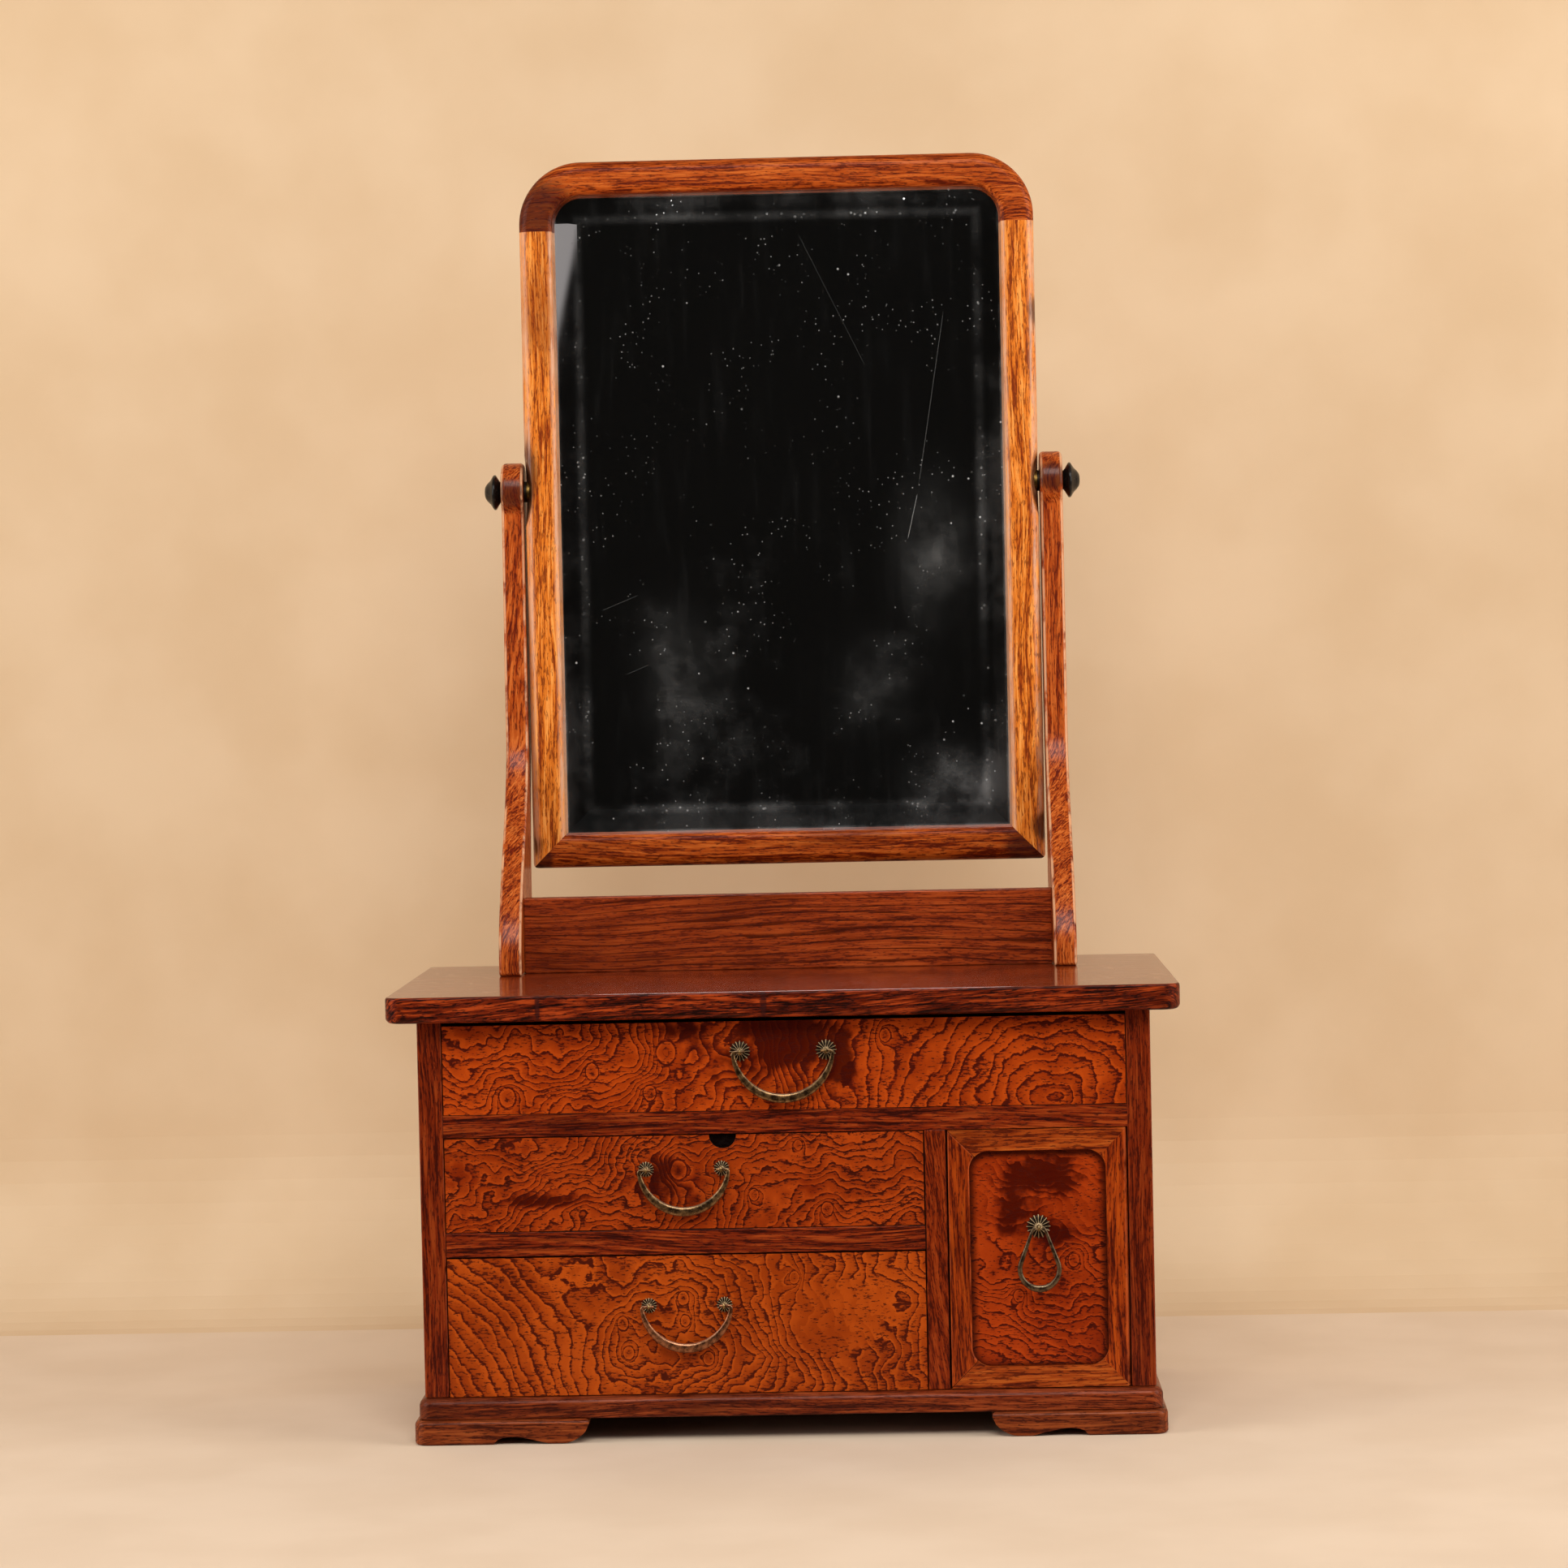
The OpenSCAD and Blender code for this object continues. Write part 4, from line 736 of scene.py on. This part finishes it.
def bail(drawer, material):
    """A crescent between two circles, with its ends bent in to the eyes."""
    low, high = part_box(f"drawer_{drawer}_bail")
    outer = (high.x - low.x) / 2
    end_w, mid_w, depth, end_depth, pin_r, pin_reach = 0.002, 0.0054, 0.0015, 0.001, 0.0008, 0.0069
    end, narrow = outer - end_w, outer - mid_w
    rise = (end * end - narrow * narrow) / (2 * narrow)
    inner = narrow + rise
    middle = Vector(((low.x + high.x) / 2, (low.y + high.y) / 2, low.z + outer))
    pin_x = outer - end_w / 2
    # The left end runs out along its pin and bends down into the crescent.
    hook = [(-pin_x + pin_reach, 0, pin_r, pin_r), (-pin_x + 0.0016, 0, pin_r, pin_r),
            (-pin_x + 0.0007, -0.0002, 0.0009, 0.0009), (-pin_x + 0.0001, -0.0008, 0.001, 0.001)]
    stations = list(hook)
    steps = 40
    for i in range(1, steps):
        turn = math.pi * (1 + i / steps)
        near_edge = rise * math.sin(turn) + math.sqrt(inner ** 2 - (rise * math.cos(turn)) ** 2)
        share = math.sin(math.pi * i / steps)
        reach = (outer + near_edge) / 2
        stations.append((reach * math.cos(turn), reach * math.sin(turn),
                         (outer - near_edge) / 2, end_depth + (depth - end_depth) * share))
    stations += [(-x, z, w, d) for x, z, w, d in reversed(hook)]
    seat(rounded_bar(f"drawer_{drawer}_bail_bar", stations, middle, material),
         f"drawer_{drawer}_bail")


bail("top", bronze)
bail("middle", bronze)
bail("bottom", copper)


def pear_bar(name, node, material):
    """The door's ring: thin arms from the eye, opening to a thick round bow."""
    low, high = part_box(node)
    middle = middle_of("door_eye")
    middle.y = (low.y + high.y) / 2
    outer = (high.x - low.x) / 2
    tall = middle.z - low.z
    neck, neck_w, low_w, depth, end_depth, pin_r = 0.0033, 0.0016, 0.0042, 0.0015, 0.001, 0.0008
    joint_w = neck_w * 1.7
    bow_r = outer - (low_w + neck_w) / 4
    bow_z = low_w / 2 + bow_r - tall
    touch = math.atan2(-bow_z, neck) - math.acos(bow_r / math.hypot(neck, bow_z))
    joint = (bow_r * math.cos(touch), bow_z + bow_r * math.sin(touch))
    # The right half runs out along the pin, bends down into its arm and goes round the bow.
    right = [(0.0, 0.0, pin_r, pin_r), (neck - 0.0012, 0.0, pin_r, pin_r),
             (neck - 0.0003, -0.0002, pin_r, 0.0009), (neck + 0.0001, -0.001, pin_r, 0.001)]
    arm_steps, bow_steps = 8, 20
    for i in range(1, arm_steps):
        t = i / arm_steps
        right.append((neck + (joint[0] - neck) * t, joint[1] * t,
                      (neck_w + (joint_w - neck_w) * t) / 2, end_depth + (depth - end_depth) * t))
    for i in range(bow_steps + 1):
        t = i / bow_steps
        turn = touch - (touch + math.pi / 2) * t
        right.append((bow_r * math.cos(turn), bow_z + bow_r * math.sin(turn),
                      (joint_w + (low_w - joint_w) * t * t) / 2, depth))
    stations = [(-x, z, w, d) for x, z, w, d in right[1:]] + right[-2:0:-1]
    seat(rounded_bar(name, stations, middle, material), node)


pear_bar("door_ring_bar", "door_ring", patina("ring_bronze", rgb(58, 44, 32), rgb(112, 92, 68),
                                              rgb(188, 168, 134), 330.0, 0.6))

# Eyes
# Each is a brass wire bent to a loop round the handle's pin. Its two legs pass
# through the wood side by side and are spread flat behind it.
eye_brass = patina("eye_brass", rgb(84, 62, 36), rgb(150, 122, 74), rgb(236, 214, 160), 420.0, 0.8)


def wire_eye(form, place, out, depth):
    """One eye at the pin's line: out to the wood's face, then depth through the wood."""
    loop_r, wire_r, leg, past_wood, facets = 0.0014, 0.0006, 0.0045, 0.0007, 8
    loop_steps, loop_from, loop_turn = 16, 28, 304
    back = out + depth + past_wood
    # From the tip of the spread leg, round its bend and forward to the loop
    legs = [(back, leg), (back, 0.0016), (back - 0.0004, 0.0009), (back - 0.0012, wire_r),
            (out * 0.6, wire_r)]
    turns = [math.radians(loop_from + loop_turn * i / loop_steps) for i in range(loop_steps + 1)]
    path = (legs + [(loop_r * math.cos(a), loop_r * math.sin(a)) for a in turns]
            + [(y, -z) for y, z in reversed(legs)])
    rings = []
    for i, (y, z) in enumerate(path):
        along = heading(path, i)
        outward = Vector((0, along.y, -along.x))
        rings.append([form.verts.new(place + Vector((wire_r * math.sin(t), y, z))
                                     + outward * (wire_r * math.cos(t)))
                      for t in [2 * math.pi * k / facets for k in range(facets)]])
    skinned(form, rings)


def eyes(node, out, depth, pair=True):
    """The eye or the two eyes of a handle, out from the wood's face and depth through it."""
    head_r = 0.0021
    low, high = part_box(node)
    middle = Vector(((low.x + high.x) / 2, low.y + head_r, (low.z + high.z) / 2))
    spread = (high.x - low.x) / 2 - head_r
    bent = bmesh.new()
    for side in ((-spread, spread) if pair else (0,)):
        wire_eye(bent, middle + Vector((side, 0, 0)), out, depth)
    bmesh.ops.recalc_face_normals(bent, faces=bent.faces)
    seat(formed(node + "_wire", bent, eye_brass), node)


for drawer in ("top", "middle", "bottom"):
    eyes(f"drawer_{drawer}_eyes", out=0.0055, depth=0.013)
eyes("door_eye", out=0.0085, depth=0.005, pair=False)


# Rosettes
# Small cast washers of dark metal behind the eyes, each with sixteen petals
# round a raised middle.
def rosette_tree():
    """Turns a grid of angle and profile into a closed fluted rosette at each given point. The
    profile runs from the middle out over the petals, and back to the middle behind them."""
    points_round, points_out = 129, 19
    out_rate, back_share, hollow_share, boss_share, scallop = 1.45, 0.1, 0.5, 0.12, 0.05
    tree = bpy.data.node_groups.new("fluted_rosette", "GeometryNodeTree")
    for name, kind in (("Geometry", "NodeSocketGeometry"), ("Radius", "NodeSocketFloat"),
                       ("Height", "NodeSocketFloat"), ("Petals", "NodeSocketInt"),
                       ("Material", "NodeSocketMaterial")):
        tree.interface.new_socket(name, in_out="INPUT", socket_type=kind)
    tree.interface.new_socket("Geometry", in_out="OUTPUT", socket_type="NodeSocketGeometry")
    wire = Wire(tree)
    given = tree.nodes.new("NodeGroupInput")
    points, radius, height, petals, material = [Wire(tree, s) for s in given.outputs[:5]]
    grid = wire.node("GeometryNodeMeshGrid", {"Size X": 1.0, "Size Y": 1.0,
                                              "Vertices X": points_round,
                                              "Vertices Y": points_out})
    along, up, _ = wire.node("GeometryNodeInputPosition").axes()
    angle = (along + 0.5) * (2 * math.pi)
    t = up + 0.5
    out = (t * out_rate).at_most(1.0).at_most((1 - t) / back_share)
    ridge = abs((angle * petals * 0.5).sine())
    front_face = t.ramp(0.9, 0.72)
    valley = ridge.ramp(0.08, 0.85) * out.ramp(0.2, 0.5) * hollow_share
    boss = out.ramp(0.4, 0.26) * boss_share
    rise = (1 - out * out * 0.6 - valley + boss) * front_face * height
    reach = out * radius * (1 - ridge.ramp(0.1, 0.8) * out.ramp(0.75, 1.0) * scallop)
    place = wire.node("ShaderNodeCombineXYZ", [reach * angle.cosine(), -rise,
                                               reach * angle.sine()])
    marked = wire.node("GeometryNodeStoreNamedAttribute", {"Geometry": grid, "Name": "hollow",
                                                           "Value": valley / hollow_share},
                       data_type="FLOAT", domain="POINT")
    shaped = wire.node("GeometryNodeSetPosition", {"Geometry": marked, "Position": place})
    closed = wire.node("GeometryNodeMergeByDistance", {"Geometry": shaped, "Distance": 1e-5})
    placed = wire.node("GeometryNodeInstanceOnPoints", {"Points": points, "Instance": closed})
    real = wire.node("GeometryNodeRealizeInstances", [placed])
    worn = wire.node("GeometryNodeSetMaterial", {"Geometry": real, "Material": material})
    plug(tree.nodes.new("NodeGroupOutput"), [worn])
    return tree


rosette_metal, wire, shader = new_finish("rosette_metal")
mottle = wire.place().noise(500.0, 3.0, 0.6)
hollow = wire.node("ShaderNodeAttribute", out=2, attribute_name="hollow")
skin = mottle.blend(rgb(120, 98, 70), rgb(196, 170, 130))
skin = hollow.ramp(0.05, 0.75).blend(skin, rgb(34, 24, 16))
plug(shader, {"Base Color": skin, "Roughness": mottle * 0.2 + 0.26, "Metallic": 0.9})
rosettes_tree = rosette_tree()


def rosettes(node):
    """The rosette or the two rosettes of a handle, flat against the wood's face."""
    petals, height_share = 16, 0.36
    low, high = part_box(node)
    radius = (high.z - low.z) / 2
    centre = (low + high) / 2
    spread = (high.x - low.x) / 2 - radius
    spots = [(centre.x + s, high.y, centre.z) for s in ((-spread, spread) if spread > radius
                                                        else (0,))]
    mesh = bpy.data.meshes.new(node + "_cast")
    mesh.from_pydata(spots, [], [])
    piece = new_piece(node + "_cast", mesh, rosette_metal)
    form = piece.modifiers.new("form", "NODES")
    form.node_group = rosettes_tree
    wanted = {"Radius": radius, "Height": radius * height_share, "Petals": petals,
              "Material": rosette_metal}
    for item in rosettes_tree.interface.items_tree:
        if item.in_out == "INPUT" and item.name in wanted:
            form[item.identifier] = wanted[item.name]
    finished(piece)
    turned = bmesh.new()
    turned.from_mesh(piece.data)
    bmesh.ops.recalc_face_normals(turned, faces=turned.faces)
    turned.to_mesh(piece.data)
    turned.free()
    piece.data.shade_smooth()
    seat(piece, node)


for node in ("drawer_top_rosettes", "drawer_middle_rosettes", "drawer_bottom_rosettes",
             "door_rosette"):
    rosettes(node)

# Posts and cross board
# The two posts are sawn to one swept line and their arrises are rounded over.
# The cross board is a thin board with dark grain lines, tenoned between them.
pivot_z = middle_of("knob_left").z
# The pale colour on the posts' rounded arrises is wear with a painted highlight.
post_wood = grained_wood("post_wood", "Z", (rgb(112, 32, 6), rgb(164, 70, 20), rgb(196, 102, 42)),
                         seed=6.3, coat=0.2, worn=1.0, swept=True, arris_colour=rgb(208, 152, 112),
                         stains=[(-0.168, pivot_z - 0.002, 0.012, 0.012),
                                 (0.168, pivot_z + 0.002, 0.01, 0.01)])
cross_wood = grained_wood("cross_wood", "X", (rgb(112, 38, 12), rgb(140, 53, 18), rgb(162, 69, 26)),
                          seed=6.9, lines=1.0)
for node in ("post_left", "post_right"):
    board(node, post_wood, 0.0024, 5, clamp=False)
board("cross_board", cross_wood, 0.0012)

# Mirror frame
# Two mitred corners below; above, the rail's ends are curved down and glued to
# shaped corner blocks. The moulded face is rounded outside and hollowed inside.
frame_rail_wood = grained_wood(
    "frame_rail_wood", "X", (rgb(106, 32, 6), rgb(160, 68, 18), rgb(190, 96, 36)), seed=8.1,
    coat=0.04, worn=0.0, stains=[(-0.15, 0.732, 0.026, 0.022), (0.15, 0.325, 0.016, 0.016),
                                 (-0.155, 0.325, 0.008, 0.008)])
# The stiles are the rails' wood in lighter tones, painted lighter because the side lamps fall on
# them, and side paints a pale highlight on their faces turned sideways.
lit_frame_stile_wood = grained_wood(
    "lit_frame_stile_wood", "Z", (rgb(150, 62, 14), rgb(212, 116, 34), rgb(236, 156, 76)), seed=8.8,
    coat=0.35, worn=0.0, side=rgb(212, 158, 120),
    stains=[(-0.163, 0.566, 0.012, 0.026), (-0.16, 0.335, 0.008, 0.008),
            (0.16, 0.34, 0.01, 0.01), (0.161, 0.66, 0.006, 0.012)])
for node in ("frame_top_rail", "frame_bottom_rail", "frame_corner_left", "frame_corner_right"):
    board(node, frame_rail_wood, 0.0004)
for node in ("frame_stile_left", "frame_stile_right"):
    board(node, lit_frame_stile_wood, 0.0004)

# Mirror glass and its back
# A bevelled plate, silvered behind. The silver has gone hazy in places, and the
# face carries dust, specks and a few long scratches.
glass_low, glass_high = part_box("mirror_glass")
glass_middle = (glass_low + glass_high) / 2
half_x, half_z = (glass_high.x - glass_low.x) / 2, (glass_high.z - glass_low.z) / 2
silver, wire, shader = new_finish("old_silver")
laid = wire.place().mapped(tuple(-glass_middle))
x, _, z = laid.axes()
inset = (half_x - abs(x)).at_most(half_z - abs(z))
haze = laid.noise(11.0, 6.0, 0.7)
film = (haze + inset.ramp(0.03, 0.006) * 0.18 + z.ramp(0.02, -0.17) * 0.1).ramp(0.58, 0.85)
streaks = laid.scaled((1, 1, 0.12)).noise(150.0, 3.0, 0.65)
bevel_inset = 0.0198
off_bevel = abs(inset - bevel_inset)
bevel_line = off_bevel.ramp(0.005, 0.0) * haze.ramp(0.3, 0.62)
rim_line = inset.ramp(0.0075, 0.0055) * haze.ramp(0.3, 0.6)
coarse_grains = laid.node("ShaderNodeTexVoronoi", {"Vector": laid, "Scale": 90.0}, feature="F1")
fine_grains = laid.node("ShaderNodeTexVoronoi", {"Vector": laid, "Scale": 260.0}, feature="F1")
specks = coarse_grains.ramp(0.09, 0.04) * laid.noise(14.0, 2.0).ramp(0.5, 0.62)
powder = fine_grains.ramp(0.17, 0.08) * laid.noise(22.0, 3.0).ramp(0.44, 0.62) * 0.6
bevel_dust = (fine_grains.ramp(0.3, 0.15) * off_bevel.ramp(0.003, 0.0005)
              * haze.ramp(0.42, 0.6) * 0.5)
dust = specks.at_least(powder).at_least(bevel_dust)
bloom = 0.0
for spot_x, spot_z, wide, tall, strength in [(0.094, -0.028, 0.02, 0.036, 0.1),
                                             (0.104, -0.172, 0.026, 0.02, 0.12),
                                             (-0.068, -0.1, 0.022, 0.034, 0.07),
                                             (0.056, -0.112, 0.024, 0.026, 0.07)]:
    far_off = ((x - spot_x) * (x - spot_x) / (wide * wide)
               + (z - spot_z) * (z - spot_z) / (tall * tall))
    bloom = ((-far_off).exp() * haze.ramp(0.3, 0.7) * strength).at_least(bloom)
soil = (film * 0.05 + bevel_line * 0.05 + rim_line * 0.12 + dust * 0.28 + bloom
        + streaks.ramp(0.5, 0.8) * 0.012 + 0.02)


def scratch(start, end, width, strength):
    """A hair-thin line on the glass from start to end."""
    line = Vector(end) - Vector(start)
    along = line.normalized()
    run = (x - start[0]) * along.x + (z - start[1]) * along.y
    off = abs((x - start[0]) * along.y - (z - start[1]) * along.x)
    return (off.ramp(width, width * 0.2) * run.ramp(0.0, line.length * 0.1)
            * run.ramp(line.length, line.length * 0.9) * strength)


for start, end, width, strength in [((0.104, 0.127), (0.085, 0.01), 0.0003, 0.12),
                                    ((0.085, 0.01), (0.078, -0.02), 0.0004, 0.2),
                                    ((0.012, 0.176), (0.056, 0.085), 0.0003, 0.08),
                                    ((-0.115, -0.06), (-0.09, -0.05), 0.0003, 0.1),
                                    ((-0.1, -0.1), (-0.085, -0.094), 0.0003, 0.1)]:
    soil = soil.at_least(scratch(start, end, width, strength))
plug(shader, {"Base Color": soil.ramp(0.0, 1.0).blend((0.82, 0.84, 0.84, 1), (0.6, 0.6, 0.58, 1)),
              "Metallic": 1 - soil.ramp(0.0, 0.6) * 0.8,
              "Roughness": soil.ramp(0.0, 0.7) * 0.5 + 0.015})
dress("mirror_glass", silver)
board("mirror_back_panel", plain_wood("mirror_back_wood", "Z", 2.2))

# Pivots and knobs
# A turned black knob screws each post to the frame. Steel washers keep the
# wood apart, and brass nuts let into the stiles take the screws.
dull_steel = speckled_metal("dull_steel", 600.0, rgb(70, 62, 54), rgb(38, 32, 28), 0.4)
for node in ("pivot_screw_left", "pivot_screw_right", "pivot_washers", "back_panel_sprigs"):
    dress(node, dull_steel)
dress("pivot_nuts", pin_brass)

knob_black, wire, shader = new_finish("knob_black")
scuff = wire.place().noise(260.0, 4.0, 0.65)
plug(shader, {"Base Color": scuff.ramp(0.55, 0.75).blend((0.009, 0.007, 0.006, 1),
                                                         (0.03, 0.022, 0.016, 1)),
              "Roughness": scuff * 0.2 + 0.1, "Specular IOR Level": 0.2})


def knob(node, side):
    """A disc with a sharp rounded rim and a domed nose, turned about the pivot."""
    low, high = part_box(node)
    middle = (low + high) / 2
    root = low.x if side > 0 else high.x
    neck = [(0.0, 0.0), (0.0, 0.0052), (0.0004, 0.0058), (0.0012, 0.0066)]
    rim = [(0.003, 0.0096), (0.0034, 0.0104), (0.0039, 0.0109), (0.0045, 0.011),
           (0.0051, 0.0108), (0.0057, 0.0101), (0.0062, 0.0092)]
    nose = [(0.0073, 0.0075), (0.0088, 0.006), (0.0095, 0.0052), (0.0102, 0.0042),
            (0.0107, 0.003), (0.0109, 0.0016), (0.011, 0.0)]
    turned = bmesh.new()
    line = [turned.verts.new((root + side * out, middle.y, middle.z + r))
            for out, r in neck + rim + nose]
    edges = [turned.edges.new(pair) for pair in zip(line, line[1:])]
    bmesh.ops.spin(turned, geom=line + edges, cent=(root, middle.y, middle.z), axis=(1, 0, 0),
                   angle=2 * math.pi, steps=48, use_merge=True)
    bmesh.ops.remove_doubles(turned, verts=turned.verts, dist=1e-6)
    bmesh.ops.recalc_face_normals(turned, faces=turned.faces)
    seat(formed(node + "_turned", turned, knob_black), node)


knob("knob_left", -1)
knob("knob_right", 1)
